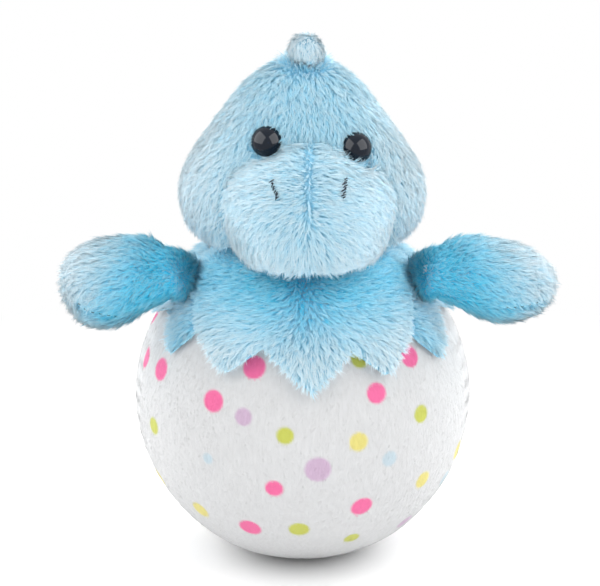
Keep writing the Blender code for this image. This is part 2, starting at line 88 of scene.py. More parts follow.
# Photograph: its frame in pixels, its scale at the egg, and where the egg's centre lies in it
PHOTO_SIZE = (600, 586)
EGG_PIXEL = (302.7, 392.0)
METRES_PER_PIXEL = 0.2745 * MM
CAMERA_ELEVATION = math.radians(18)
CAMERA_DISTANCE = 1.0
SENSOR_WIDTH = 36.0
RIGHTWARD = np.array([1.0, 0.0, 0.0])
UPWARD = np.array([0.0, math.sin(CAMERA_ELEVATION), math.cos(CAMERA_ELEVATION)])
TO_CAMERA = np.array([0.0, -math.cos(CAMERA_ELEVATION), math.sin(CAMERA_ELEVATION)])

# Print of the egg in the photograph: for each colour, pixel across and down, diameter in millimetres
SEEN_DOTS = {
    "pink": (
        (145, 357, 5.8), (160, 369, 6.2), (213, 401, 6.0), (254, 367, 6.3), (274, 489, 4.9),
        (250, 528, 6.2), (362, 507, 6.1), (377, 393, 5.6), (410, 356, 6.0), (156, 313, 5.8),
    ),
    "lilac": ((243, 417, 4.8), (318, 470, 7.1), (405, 522, 5.0)),
    "lime": (
        (153, 426, 4.8), (285, 436, 4.7), (299, 530, 5.6), (352, 539, 4.4), (422, 414, 4.9),
        (360, 358, 5.2),
    ),
    "yellow": ((159, 478, 5.4), (200, 510, 5.4), (359, 442, 5.2), (423, 480, 5.1), (458, 450, 5.4)),
    "sky": ((207, 459, 3.1), (390, 459, 4.4), (445, 478, 4.6)),
}
UNSEEN_DOTS = 46
UNSEEN_RADII = (0.0023, 0.0032)
DOT_SPACING = 0.0105
DOT_BLUR = 0.00035
DOT_COLOURS = {
    "white": (0.600, 0.605, 0.611),
    "pink": (0.770, 0.142, 0.320),
    "lilac": (0.530, 0.390, 0.522),
    "lime": (0.498, 0.520, 0.100),
    "yellow": (0.680, 0.605, 0.194),
    "sky": (0.482, 0.582, 0.636),
}
DOT_NAMES = tuple(DOT_COLOURS)

# Eyes
EYE_DOME = 0.0030
EYE_RIM = 0.0008
EYE_RISE = {"left": 0.0008, "right": 0.0012}
STEM_RADIUS = 0.0014
EYE_COLUMNS = 48
EYE_STEPS = 14
EYE_GAP = 0.0001
EYE_RUFF = (0.0003, 0.0011)
EYE_REACH = 0.012
WASHER_GAP = 0.0003
WASHER_LIFT = 0.006
WASHER_COVER = (0.0054, 0.0076)

# Pile: strands to a square millimetre and to a lock, length, half width, lift, wildness, depth of the skin
Pile = namedtuple("Pile", "density lock length radius lift wild depth")
HEAD_PILE = Pile(10.5, 6, 0.0033, 0.000090, 0.38, 0.24, 0.0012)
MUZZLE_PILE = Pile(11.0, 6, 0.0032, 0.000088, 0.38, 0.20, 0.0012)
COLLAR_PILE = Pile(10.0, 6, 0.0034, 0.000092, 0.36, 0.22, 0.0012)
ARM_PILE = Pile(10.5, 6, 0.0033, 0.000090, 0.38, 0.22, 0.0012)
KNOB_PILE = Pile(15.0, 7, 0.0023, 0.000092, 0.34, 0.28, 0.0008)
NECK_PILE = Pile(2.0, 6, 0.0030, 0.000130, 0.50, 0.30, 0.0013)
NAP = Pile(7.5, 4, 0.0010, 0.000060, 0.08, 0.20, 0.0002)
STRANDS_PER_PIECE = 19000
STRAND_STEPS = (0.0, 0.45, 1.0)
NAP_STEPS = (0.0, 1.0)
STRAND_TAPER = (1.0, 0.85)
STRAND_ROUNDING = 0.6
NAP_ROUNDING = 0.9
PARTED_LIFT = 1.6
TONE_WIDTH = 0.012

# How whole locks of pile vary, and then the strands in a lock
LOCK_SWIRL = 0.014
LOCK_LENGTHS = (0.82, 1.18)
LOCK_LIFTS = (0.75, 1.25)
STRAND_LENGTHS = (0.75, 1.12)
STRAND_LIFTS = (0.85, 1.15)
STRAND_WIDTHS = (0.75, 1.25)
STRAND_PULLS = (0.22, 0.58)
SUNK_ROOT = 0.06
TONE_LIMITS = (0.02, 0.98)

# Stuffed forms: voxel, how far the skin swells, and the radius that it curves by
Form = namedtuple("Form", "voxel swell radius")
HEAD_FORM = Form(0.0020, 0.0007, 0.028)
KNOB_FORM = Form(0.0010, 0.0002, 0.012)
NECK_FORM = Form(0.0022, 0.0003, 0.028)
ARM_FORM = Form(0.0016, 0.0006, 0.011)

# Fillings: voxel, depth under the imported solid, and the height and size of the lumps
Filling = namedtuple("Filling", "voxel depth lumps size")
LIMB_FILLING = Filling(0.0020, 0.0010, 0.0003, 0.006)
BODY_FILLING = Filling(0.0030, 0.0008, 0.0005, 0.006)
PELLET_FILLING = Filling(0.0020, 0.0006, 0.0005, 0.003)

# Simulated stuffing
SMOOTHING = 12
SKIN_THICKNESS = 0.0008
SHARP_EDGE = math.radians(50)
SIM_FRAMES = 20
SIM_SCALE = 10.0
SIM_PRESSURE = 40.0
SIM_RADIUS = 0.046
SIM_STIFFNESS = 4.0


def waves(points, size, rng, count=7):
    """Smooth noise between about -1 and 1 whose features are about the given size."""
    total = np.zeros(len(points))
    for _ in range(count):
        direction = rng.normal(size=3)
        direction *= rng.uniform(0.6, 1.4) * math.pi / (size * np.linalg.norm(direction))
        total += np.sin(points @ direction + rng.uniform(0.0, 2 * math.pi))
    return total / math.sqrt(count)


def ramp(values, low, high):
    """0 at low, 1 at high, smooth in between."""
    share = np.clip((values - low) / (high - low), 0.0, 1.0)
    return share * share * (3.0 - 2.0 * share)


def bell(values, width):
    """1 at zero, falling away to both sides over a width."""
    return np.exp(-((values / width) ** 2))


def unit(vectors):
    return vectors / np.maximum(np.linalg.norm(vectors, axis=-1, keepdims=True), 1e-12)


def norms(vectors):
    return np.linalg.norm(vectors, axis=-1)


def dot(a, b):
    return np.sum(a * b, axis=-1)


# Meshes

def new_piece(name, points, faces, finish=None):
    """A smooth mesh object from points and faces that all have the same number of corners."""
    faces = np.asarray(faces, dtype=np.int32)
    mesh = bpy.data.meshes.new(name)
    mesh.vertices.add(len(points))
    mesh.vertices.foreach_set("co", np.asarray(points, dtype=np.float32).ravel())
    mesh.loops.add(faces.size)
    mesh.loops.foreach_set("vertex_index", faces.ravel())
    mesh.polygons.add(len(faces))
    mesh.polygons.foreach_set("loop_start", np.arange(0, faces.size, faces.shape[1], dtype=np.int32))
    mesh.update(calc_edges=True)
    mesh.shade_smooth()
    if finish:
        mesh.materials.append(finish)
    piece = bpy.data.objects.new(name, mesh)
    bpy.context.scene.collection.objects.link(piece)
    return piece


def read_all(items, name, width, kind=np.float32):
    """One row of a property for each vertex, edge, loop or triangle of a mesh."""
    values = np.empty(len(items) * width, dtype=kind)
    items.foreach_get(name, values)
    return values.reshape(-1, width)


def vertex_points(mesh):
    return read_all(mesh.vertices, "co", 3).astype(float)


def vertex_normals(mesh):
    return read_all(mesh.vertices, "normal", 3).astype(float)


def edges_of(mesh):
    return read_all(mesh.edges, "vertices", 2, np.int32)


def triangles_of(mesh):
    mesh.calc_loop_triangles()
    return read_all(mesh.loop_triangles, "vertices", 3, np.int32)


def surface_tree(mesh):
    return BVHTree.FromPolygons(vertex_points(mesh).tolist(), triangles_of(mesh).tolist())


def packed(node):
    return frame["nodes"][node].data


def packed_points(node):
    return vertex_points(packed(node))


def pivot_of(body):
    """Where the joint that moves a body turns."""
    return np.array(next(j["pos_m"] for j in frame["joints"] if j["child"] == body))


def long_axis(points):
    """The middle of some points and the direction in which they reach furthest."""
    middle = points.mean(axis=0)
    return middle, np.linalg.svd(points - middle)[2][0]


def about(points, base, axis):
    """Each point's height along an axis from its base, and its offset from the axis."""
    away = points - base
    height = away @ axis
    return height, away - height[:, None] * axis


def set_points(mesh, points):
    mesh.vertices.foreach_set("co", points.astype(np.float32).ravel())
    mesh.update()


def push(mesh, distance):
    """Moves a mesh's points out along their normals, all by one distance or each by its own."""
    set_points(mesh, vertex_points(mesh) + np.reshape(distance, (-1, 1)) * vertex_normals(mesh))


def apply_modifiers(piece):
    """Replaces the piece's mesh by what its modifiers make of it."""
    bpy.context.view_layer.update()
    made = bpy.data.meshes.new_from_object(piece.evaluated_get(bpy.context.evaluated_depsgraph_get()))
    piece.modifiers.clear()
    piece.data = made
    made.shade_smooth()


def joined_solids(name, nodes):
    """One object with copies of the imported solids' meshes."""
    points = []
    faces = []
    first = 0
    for node in nodes:
        mesh = packed(node)
        points.append(vertex_points(mesh))
        faces.append(triangles_of(mesh) + first)
        first += len(mesh.vertices)
    return new_piece(name, np.concatenate(points), np.concatenate(faces))


def smoothed(mesh, rounds):
    """Evens out a mesh without shrinking it: each round relaxes the points and then springs them back."""
    points = vertex_points(mesh)
    edges = edges_of(mesh)
    count = np.bincount(edges.ravel(), minlength=len(points))[:, None]
    for factor in (0.50, -0.52) * rounds:
        total = np.zeros_like(points)
        np.add.at(total, edges[:, 0], points[edges[:, 1]])
        np.add.at(total, edges[:, 1], points[edges[:, 0]])
        points += factor * (total / count - points)
    set_points(mesh, points)


def remeshed(piece, voxel, rounds):
    remesh = piece.modifiers.new("remesh", "REMESH")
    remesh.mode = "VOXEL"
    remesh.voxel_size = voxel
    apply_modifiers(piece)
    smoothed(piece.data, rounds)


def swell(piece, seams, cap, radius):
    """Simulated stuffing: pressure pushes the skin out between its seams, no point further than the cap.

    A tightly curved skin gives less, so the pressure grows as its radius shrinks.
    """
    mesh = piece.data
    start = vertex_points(mesh)
    held = piece.vertex_groups.new(name="seams")
    held.add(np.flatnonzero(seams(start)).tolist(), 1.0, "REPLACE")
    set_points(mesh, SIM_SCALE * start)
    cloth = piece.modifiers.new("stuffing", "CLOTH")
    cloth.settings.vertex_group_mass = "seams"
    cloth.settings.pin_stiffness = 1.0
    cloth.settings.tension_stiffness = SIM_STIFFNESS
    cloth.settings.compression_stiffness = SIM_STIFFNESS
    cloth.settings.use_pressure = True
    cloth.settings.uniform_pressure_force = SIM_PRESSURE * (SIM_RADIUS / radius) ** 2
    cloth.settings.effector_weights.gravity = 0.0
    cloth.point_cache.frame_end = SIM_FRAMES
    for step in range(1, SIM_FRAMES + 1):
        bpy.context.scene.frame_set(step)
    apply_modifiers(piece)
    bpy.context.scene.frame_set(1)
    moves = vertex_points(piece.data) / SIM_SCALE - start
    far = np.linalg.norm(moves, axis=1, keepdims=True)
    set_points(piece.data, start + moves * np.minimum(1.0, cap / np.maximum(far, 1e-9)))


def subdivided(piece, levels, kind="CATMULL_CLARK"):
    step = piece.modifiers.new("subdivide", "SUBSURF")
    step.subdivision_type = kind
    step.levels = levels
    step.render_levels = levels
    apply_modifiers(piece)


def owners(points, nodes):
    """For each point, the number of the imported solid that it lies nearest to."""
    nearest = []
    for node in nodes:
        tree = surface_tree(packed(node))
        nearest.append([tree.find_nearest(point)[3] for point in points.tolist()])
    return np.argmin(np.array(nearest), axis=0)


# Materials

def new_material(name):
    made = bpy.data.materials.new(name)
    made.use_nodes = True
    return made, made.node_tree, made.node_tree.nodes["Principled BSDF"]


def set_inputs(tree, node, values):
    """Sets a node's inputs, each to a value or by a link from another node's output."""
    for name, value in values.items():
        if isinstance(value, bpy.types.NodeSocket):
            tree.links.new(value, node.inputs[name])
        else:
            node.inputs[name].default_value = value


def add_node(tree, kind, values=None, **settings):
    node = tree.nodes.new(f"ShaderNode{kind}")
    for name, value in settings.items():
        setattr(node, name, value)
    set_inputs(tree, node, values or {})
    return node


def colour_ramp(tree, source, stops, interpolation="LINEAR"):
    node = add_node(tree, "ValToRGB", {"Fac": source})
    node.color_ramp.interpolation = interpolation
    elements = node.color_ramp.elements
    while len(elements) < len(stops):
        elements.new(0.5)
    for element, (place, colour) in zip(elements, stops):
        element.position = place
        element.color = (*colour, 1.0)
    return node.outputs["Color"]


# Numbers of the mix node's sockets for colours
MIX_SHARE = 0
MIX_FIRST = 6
MIX_SECOND = 7
MIX_RESULT = 2


def mix_colour(tree, share, first, second, mode="MIX"):
    values = {MIX_SHARE: share, MIX_FIRST: first, MIX_SECOND: second}
    return add_node(tree, "Mix", values, data_type="RGBA", blend_type=mode).outputs[MIX_RESULT]


def map_range(tree, source, low, high):
    return add_node(tree, "MapRange", {"Value": source, "To Min": low, "To Max": high}).outputs["Result"]


def noise(tree, scale, detail=3.0, stretch=(1.0, 1.0, 1.0)):
    spot = add_node(tree, "TexCoord").outputs["Object"]
    spot = add_node(tree, "Mapping", {"Vector": spot, "Scale": stretch}).outputs["Vector"]
    return add_node(tree, "TexNoise", {"Vector": spot, "Scale": scale, "Detail": detail}).outputs["Fac"]


def bump(tree, height, distance, strength=0.6):
    values = {"Height": height, "Distance": distance, "Strength": strength}
    return add_node(tree, "Bump", values).outputs["Normal"]


def strand_places(tree):
    """The two places on a strand: its tone across the map, and root to tip up it."""
    places = add_node(tree, "UVMap", uv_map="OFBake").outputs["UV"]
    split = add_node(tree, "SeparateXYZ", {"Vector": places})
    return split.outputs["X"], split.outputs["Y"]


# Painted shade: the deep ramp is the same blue pile in shade, mixed in by each part's tone. Along each ramp
# the roots are painted darker and more saturated, for light scattered deep in the pile.
DEEP_BLUE = ((0.0, (0.008, 0.480, 0.850)), (0.45, (0.030, 0.610, 0.940)), (1.0, (0.220, 0.770, 0.970)))
PALE_BLUE = ((0.0, (0.280, 0.740, 0.970)), (0.40, (0.640, 0.870, 0.975)), (1.0, (0.850, 0.940, 0.985)))
# The arms' pale ramp, darker and greyer than the head's: painted shade on the same pile, for arms that face
# the lamps more.
ARM_BLUE = ((0.0, (0.260, 0.640, 0.840)), (0.40, (0.570, 0.760, 0.850)), (1.0, (0.760, 0.830, 0.870)))


def blue_pile_material(name, pale_blue):
    """Strands whose tone runs from deep blue, the pile's painted shade, to pale blue, and whose colour also
    changes from root to tip, darker at the roots as painted shade deep in the pile.
    """
    made, tree, shader = new_material(name)
    tone, along = strand_places(tree)
    deep = colour_ramp(tree, along, DEEP_BLUE)
    pale = colour_ramp(tree, along, pale_blue)
    set_inputs(tree, shader, {
        "Base Color": mix_colour(tree, tone, deep, pale),
        "Roughness": 0.62,
        "Specular IOR Level": 0.25,
        "Sheen Weight": map_range(tree, tone, 0.10, 0.45),
        "Sheen Roughness": 0.50,
    })
    return made


def nap_material():
    """Short strands in the print's colours, a little darker at their roots: painted shade in the nap."""
    made, tree, shader = new_material("egg_nap")
    tone, along = strand_places(tree)
    stops = [(index / len(DOT_NAMES), DOT_COLOURS[name]) for index, name in enumerate(DOT_NAMES)]
    print_colour = colour_ramp(tree, tone, stops, "CONSTANT")
    shade = colour_ramp(tree, along, ((0.0, (0.86, 0.86, 0.86)), (0.6, (1.0, 1.0, 1.0))))
    set_inputs(tree, shader, {
        "Base Color": mix_colour(tree, 1.0, print_colour, shade, "MULTIPLY"),
        "Roughness": 0.85,
        "Specular IOR Level": 0.15,
        "Sheen Weight": 0.15,
    })
    return made


def egg_material():
    """The printed skin under the nap, with a fine grain."""
    made, tree, shader = new_material("egg_fabric")
    printed = add_node(tree, "Attribute", attribute_name="print").outputs["Color"]
    grain = noise(tree, 900.0, 4.0, (1.0, 1.0, 0.35))
    shade = colour_ramp(tree, grain, ((0.25, (0.93, 0.93, 0.93)), (0.7, (1.0, 1.0, 1.0))))
    set_inputs(tree, shader, {
        "Base Color": mix_colour(tree, 1.0, printed, shade, "MULTIPLY"),
        "Roughness": 0.9,
        "Specular IOR Level": 0.15,
        "Sheen Weight": 0.2,
        "Normal": bump(tree, grain, 0.25 * MM),
    })
    return made


def fabric_material(name, dark, light, scale, roughness=0.9):
    """Knitted backing or fibre: two tones of one colour in fine noise, with bump."""
    made, tree, shader = new_material(name)
    grain = noise(tree, scale, 5.0)
    set_inputs(tree, shader, {
        "Base Color": colour_ramp(tree, grain, ((0.3, dark), (0.7, light))),
        "Roughness": roughness,
        "Normal": bump(tree, grain, 0.3 * MM),
    })
    return made


def plastic_material(name, colour, roughness, scale, gleam=0.5):
    """Moulded plastic whose gloss varies a little over the surface."""
    made, tree, shader = new_material(name)
    set_inputs(tree, shader, {
        "Base Color": (*colour, 1.0),
        "Roughness": map_range(tree, noise(tree, scale), roughness * 0.8, roughness * 1.25),
        "Specular IOR Level": gleam,
    })
    return made


BLUE_PILE = blue_pile_material("blue_pile", PALE_BLUE)
# Arm pile with the darker ramp, its painted shade
ARM_BLUE_PILE = blue_pile_material("arm_blue_pile", ARM_BLUE)
EGG_NAP = nap_material()
EGG_FABRIC = egg_material()
BACKING = fabric_material("blue_backing", (0.22, 0.56, 0.78), (0.34, 0.66, 0.84), 1400.0)
FIBRE = fabric_material("stuffing_fibre", (0.70, 0.70, 0.68), (0.86, 0.86, 0.84), 500.0)
PELLETS = fabric_material("pellet_pouch", (0.55, 0.57, 0.60), (0.74, 0.76, 0.78), 300.0, 0.7)
EYE_PLASTIC = plastic_material("eye_plastic", (0.003, 0.007, 0.015), 0.06, 300.0, 0.28)
WASHER_PLASTIC = plastic_material("washer_plastic", (0.75, 0.75, 0.73), 0.45, 400.0)
THREAD = fabric_material("dark_thread", (0.003, 0.006, 0.012), (0.016, 0.027, 0.046), 2500.0)


Span = namedtuple("Span", "held moved start end")


def place(piece, body):
    """Rides on a body. Given a span between two bodies instead, the piece only has its placing baked into its
    points; the span's bodies and points are not used.
    """
    if isinstance(body, Span):
        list(body)
        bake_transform(piece)
    else:
        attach(piece, body)
    return piece


# Pile

Skin = namedtuple("Skin", "points normals triangles")


def skin_of(piece):
    return Skin(vertex_points(piece.data), vertex_normals(piece.data), triangles_of(piece.data))


def scattered(skin, per_mm2, rng):
    """Random places on a skin, as points and normals."""
    a, b, c = (skin.points[skin.triangles[:, k]] for k in range(3))
    area = 0.5 * norms(np.cross(b - a, c - a))
    count = np.floor(area * per_mm2 / MM**2 + rng.random(len(area))).astype(int)
    which = np.repeat(np.arange(len(area)), count)
    s = np.sqrt(rng.random(len(which)))
    t = rng.random(len(which))
    weights = np.stack([1.0 - s, s * (1.0 - t), s * t], axis=1)[:, :, None]
    corners = skin.triangles[which]
    return (skin.points[corners] * weights).sum(axis=1), unit((skin.normals[corners] * weights).sum(axis=1))


def nearest_of(points, others):
    tree = KDTree(len(others))
    for index, other in enumerate(others.tolist()):
        tree.insert(other, index)
    tree.balance()
    return np.array([tree.find(point)[1] for point in points.tolist()])


def combed(normals, wanted, turn):
    """The wanted direction laid on the surface, at most 1 long, and turned about the normal."""
    flat = wanted - normals * dot(wanted, normals)[:, None]
    flat /= np.maximum(1.0, norms(flat))[:, None]
    return np.cos(turn)[:, None] * flat + np.sin(turn)[:, None] * np.cross(normals, flat)


def tubes(lines, normals, radii, tones, steps, rounding):
    """Closed three-sided strands, flat side up: points, triangles, tone and height, shading normals."""
    count, stations, _ = lines.shape
    rings = stations - 1
    ahead = unit(np.diff(lines, axis=1))
    side = unit(np.cross(ahead, normals[:, None, :]))
    top = np.cross(side, ahead)
    turns = np.radians([270.0, 30.0, 150.0])
    taper = radii[:, None] * np.array(STRAND_TAPER[:rings])[None, :]
    offset = np.cos(turns)[None, None, :, None] * side[:, :, None, :]
    offset = offset + np.sin(turns)[None, None, :, None] * top[:, :, None, :]
    ring_points = lines[:, :rings, None, :] + taper[:, :, None, None] * offset
    points = np.concatenate([ring_points.reshape(count, rings * 3, 3), lines[:, -1:]], axis=1)

    faces = [(0, 1, 2)]
    for ring in range(rings - 1):
        for k in range(3):
            a = ring * 3 + k
            b = ring * 3 + (k + 1) % 3
            faces += [(b, a, b + 3), (b + 3, a, a + 3)]
    tip = rings * 3
    faces += [(tip - 3 + (k + 1) % 3, tip - 3 + k, tip) for k in range(3)]
    faces = np.array(faces)[None, :, :] + (np.arange(count) * (tip + 1))[:, None, None]

    across = np.tile([0.0, 1.0, -1.0], rings).tolist() + [0.0]
    height = np.repeat(steps[:rings], 3)
    height[0] += TONE_WIDTH
    height = np.append(height, 1.0)
    tone = np.clip(tones[:, None] + TONE_WIDTH * np.array(across)[None, :], 0.0, 1.0)
    places = np.stack([tone, np.broadcast_to(height, tone.shape)], axis=-1)
    round_off = np.concatenate([offset.reshape(count, rings * 3, 3), ahead[:, -1:]], axis=1)
    shading = unit(normals[:, None, :] + rounding * round_off)
    return points.reshape(-1, 3), faces.reshape(-1, 3), places.reshape(-1, 2), shading.reshape(-1, 3)


def add_strands(name, body, pile, finish, steps=STRAND_STEPS, rounding=STRAND_ROUNDING):
    """Pieces of pile, split so that none holds too many strands."""
    lines, normals, radii, tones = pile
    parts = max(1, math.ceil(len(lines) * len(steps) / (STRANDS_PER_PIECE * len(STRAND_STEPS))))
    order = np.argsort(lines[:, 0, 2], kind="stable")
    for index, chosen in enumerate(np.array_split(order, parts)):
        points, faces, places, shading = tubes(
            lines[chosen], normals[chosen], radii[chosen], tones[chosen], steps, rounding
        )
        piece = new_piece(f"{name}_{index + 1}" if parts > 1 else name, points, faces, finish)
        piece.data.normals_split_custom_set_from_vertices(shading)
        layer = piece.data.uv_layers.new(name="OFBake")
        layer.data.foreach_set("uv", places[faces.ravel()].astype(np.float32).ravel())
        place(piece, body)


def grow_pile(skin, style, comb, tone, rng, keep=None, scale=None, mottle=0.08, steps=STRAND_STEPS):
    """Locks of strands on a skin. comb, tone, keep and scale are functions of points and normals."""
    roots, normals = scattered(skin, style.density, rng)
    if keep:
        kept = keep(roots, normals)
        roots, normals = roots[kept], normals[kept]
    guides, guide_normals = scattered(skin, style.density / style.lock, rng)
    lock = nearest_of(roots, guides)

    swirl = style.wild * waves(guides, LOCK_SWIRL, rng) + 0.6 * style.wild * rng.normal(size=len(guides))
    guide_along = combed(guide_normals, comb(guides, guide_normals), swirl)
    guide_length = style.length * rng.uniform(*LOCK_LENGTHS, len(guides))
    if scale:
        guide_length *= scale(guides, guide_normals)
    upright = 1.0 + PARTED_LIFT * (1.0 - norms(guide_along))
    guide_lift = style.lift * upright * rng.uniform(*LOCK_LIFTS, len(guides))
    guide_bend = style.wild * rng.normal(size=len(guides))

    stray = rng.normal(size=len(roots)) * 0.5 * style.wild
    along = combed(normals, guide_along[lock], stray)
    lengths = guide_length[lock] * rng.uniform(*STRAND_LENGTHS, len(roots))
    lift = (guide_lift[lock] * rng.uniform(*STRAND_LIFTS, len(roots)))[:, None]
    sunk = roots - SUNK_ROOT * style.length * normals
    steps = np.array(steps)
    rise = lift * np.sin(0.5 * math.pi * steps)[None, :]
    run = steps[None, :] - 0.28 * np.sin(math.pi * steps)[None, :] * lift
    lines = sunk[:, None, :] + lengths[:, None, None] * (
        rise[:, :, None] * normals[:, None, :] + run[:, :, None] * along[:, None, :]
    )
    bend = lengths * (guide_bend[lock] + 0.4 * style.wild * rng.normal(size=len(roots)))
    lines += (bend[:, None] * (steps**2)[None, :])[:, :, None] * np.cross(normals, along)[:, None, :]
    pull = rng.uniform(*STRAND_PULLS, len(roots))[:, None, None] * (steps**1.3)[None, :, None]
    lines += pull * (guides[lock] - roots)[:, None, :]

    tones = tone(roots, normals)
    spread = rng.normal(size=len(guides))[lock] + 0.7 * rng.normal(size=len(roots))
    radii = style.radius * rng.uniform(*STRAND_WIDTHS, len(roots))
    return lines, normals, radii, np.clip(tones + mottle * spread, *TONE_LIMITS)


# Camera, light and floor

def camera_spot():
    """Where the photograph was taken from."""
    shift = (np.array(PHOTO_SIZE) / 2 - EGG_PIXEL) * METRES_PER_PIXEL
    return EGG_CENTRE + shift[0] * RIGHTWARD - shift[1] * UPWARD + CAMERA_DISTANCE * TO_CAMERA


def pixel_ray(across, down):
    """Direction from the camera to the place that a pixel of the photograph shows."""
    right = (across - EGG_PIXEL[0]) * METRES_PER_PIXEL
    up = (EGG_PIXEL[1] - down) * METRES_PER_PIXEL
    return unit(EGG_CENTRE + right * RIGHTWARD + up * UPWARD - camera_spot())


def add_camera():
    camera = bpy.data.objects.new("camera", bpy.data.cameras.new("camera"))
    camera.data.sensor_width = SENSOR_WIDTH
    camera.data.lens = SENSOR_WIDTH * CAMERA_DISTANCE / (PHOTO_SIZE[0] * METRES_PER_PIXEL)
    camera.location = camera_spot()
    camera.rotation_euler = Vector(-TO_CAMERA).to_track_quat("-Z", "Y").to_euler()
    bpy.context.scene.collection.objects.link(camera)
    bpy.context.scene.camera = camera


def add_softbox(name, azimuth, elevation, distance, size, power):
    """A rectangular studio light that faces the toy; azimuth 0 is in front and grows towards +X."""
    lamp = bpy.data.lights.new(name, "AREA")
    lamp.shape = "RECTANGLE"
    lamp.size, lamp.size_y = size
    lamp.energy = power
    light = bpy.data.objects.new(name, lamp)
    turn, rise = math.radians(azimuth), math.radians(elevation)
    away = np.array([math.cos(rise) * math.sin(turn), -math.cos(rise) * math.cos(turn), math.sin(rise)])
    target = EGG_CENTRE + [0.0, 0.0, EGG_RADIUS]
    light.location = target + distance * away
    light.rotation_euler = Vector(-away).to_track_quat("-Z", "Y").to_euler()
    bpy.context.scene.collection.objects.link(light)
    return light


def white_for_camera(tree, plain, white, share=None):
    """Mixes a white shader over a plain one for rays from the camera and in mirrors and glass."""
    rays = add_node(tree, "LightPath").outputs
    seen = rays["Is Camera Ray"]
    for name in ("Is Glossy Ray", "Is Transmission Ray"):
        seen = add_node(tree, "Math", {0: seen, 1: rays[name]}, operation="MAXIMUM").outputs["Value"]
    if share is not None:
        seen = add_node(tree, "Math", {0: seen, 1: share}, operation="MULTIPLY").outputs["Value"]
    return add_node(tree, "MixShader", {0: seen, 1: plain, 2: white}).outputs["Shader"]


WHITE = (1.0, 1.0, 1.0, 1.0)
WORLD_LIGHT = 0.54
FLOOR_COLOUR = (0.93, 0.93, 0.93, 1.0)
FLOOR_SIZE = 3.0
FLOOR_SHADOW_REACH = (0.06, 0.22)

# Lights: azimuth and elevation in degrees, distance, width and height, power
LAMPS = {
    "softbox_left": (-58, 38, 0.75, (0.5, 0.6), 2.1),
    "rim_light_left": (-122, 24, 0.75, (0.5, 0.7), 3.78),
    "softbox_right": (58, 38, 0.75, (0.5, 0.6), 2.5),
    "rim_light_right": (122, 24, 0.75, (0.5, 0.7), 4.5),
    "top_light": (180, 64, 0.75, (0.7, 0.5), 2.3),
    "low_light": (0, 8, 0.80, (0.9, 0.25), 0.85),
}

# Reflectors give gloss and no diffuse light, and show most in the eyes
REFLECTORS = {
    "reflector_left": (-70, 32, 0.55, (0.90, 0.66), 6.6),
    "reflector_right": (62, 32, 0.55, (0.66, 0.62), 4.6),
}


def add_world():
    world = bpy.data.worlds.new("studio")
    world.use_nodes = True
    bpy.context.scene.world = world
    tree = world.node_tree
    light = tree.nodes["Background"]
    set_inputs(tree, light, {"Color": WHITE, "Strength": WORLD_LIGHT})
    white = add_node(tree, "Background", {"Color": WHITE})
    shown = white_for_camera(tree, light.outputs["Background"], white.outputs["Background"])
    set_inputs(tree, tree.nodes["World Output"], {"Surface": shown})


def add_floor():
    """A pale floor that shows the toy's shadow near it and runs out to white."""
    half = FLOOR_SIZE / 2
    corners = [(-half, -half, 0.0), (half, -half, 0.0), (half, half, 0.0), (-half, half, 0.0)]
    made, tree, shader = new_material("floor")
    set_inputs(tree, shader, {"Base Color": FLOOR_COLOUR, "Roughness": 0.9, "Specular IOR Level": 0.0})
    spot = add_node(tree, "NewGeometry").outputs["Position"]
    reach = add_node(tree, "VectorMath", {0: spot}, operation="LENGTH").outputs["Value"]
    near, far = FLOOR_SHADOW_REACH
    values = {"Value": reach, "From Min": near, "From Max": far}
    fade = add_node(tree, "MapRange", values, interpolation_type="SMOOTHSTEP").outputs["Result"]
    glow = add_node(tree, "Emission").outputs["Emission"]
    shown = white_for_camera(tree, shader.outputs["BSDF"], glow, fade)
    set_inputs(tree, tree.nodes["Material Output"], {"Surface": shown})
    new_piece("floor", corners, [(0, 1, 2, 3)], made)


def set_stage():
    add_camera()
    for name, setting in LAMPS.items():
        add_softbox(name, *setting).visible_glossy = False
    for name, setting in REFLECTORS.items():
        add_softbox(name, *setting).visible_diffuse = False
    add_world()
    add_floor()
    bpy.context.scene.view_settings.view_transform = "Standard"


# Skins

def split_skin(piece, nodes, body, finish, thickness):
    """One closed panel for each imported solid, cut from a stuffed form, each standing for its solid."""
    mesh = piece.data
    quads = read_all(mesh.loops, "vertex_index", 1, np.int32).reshape(-1, 4)
    points = vertex_points(mesh)
    owner = owners(points[quads].mean(axis=1), nodes)
    normals = vertex_normals(mesh)
    skins = {}
    for index, node in enumerate(nodes):
        chosen = quads[owner == index]
        used, faces = np.unique(chosen, return_inverse=True)
        panel = new_piece(f"{node}_skin", points[used], faces.reshape(-1, 4), finish)
        solid = panel.modifiers.new("thickness", "SOLIDIFY")
        solid.thickness = thickness
        solid.offset = -1.0
        apply_modifiers(panel)
        panel.data.set_sharp_from_angle(angle=SHARP_EDGE)
        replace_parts(place(panel, body), node)
        skins[node] = Skin(points, normals, np.concatenate([chosen[:, [0, 1, 2]], chosen[:, [0, 2, 3]]]))
    bpy.data.objects.remove(piece)
    return skins


def draw_seams(piece, nodes, depths):
    """Draws the skin in along its panels' seams. depths gives depth and half width by pair of panels."""
    mesh = piece.data
    points = vertex_points(mesh)
    edges = edges_of(mesh)
    ends = owners(points, nodes)[edges]
    moves = np.zeros(len(points))
    for (first, second), (depth, width) in depths.items():
        pair = [nodes.index(first), nodes.index(second)]
        on_seam = (ends[:, 0] != ends[:, 1]) & np.isin(ends, pair).all(axis=1)
        seam = points[edges[on_seam]].mean(axis=1)
        off = norms(points - seam[nearest_of(points, seam)])
        moves = np.maximum(moves, depth * bell(off, width))
    push(mesh, -moves)


def add_lumps(node, body, filling, finish, rng):
    """A packed filling as a lumpy form."""
    form = joined_solids(f"{node}_lumps", [node])
    remeshed(form, filling.voxel, SMOOTHING)
    push(form.data, filling.lumps * waves(vertex_points(form.data), filling.size, rng) - filling.depth)
    form.data.materials.append(finish)
    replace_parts(place(form, body), node)


def nothing_held(points):
    return np.zeros(len(points), dtype=bool)


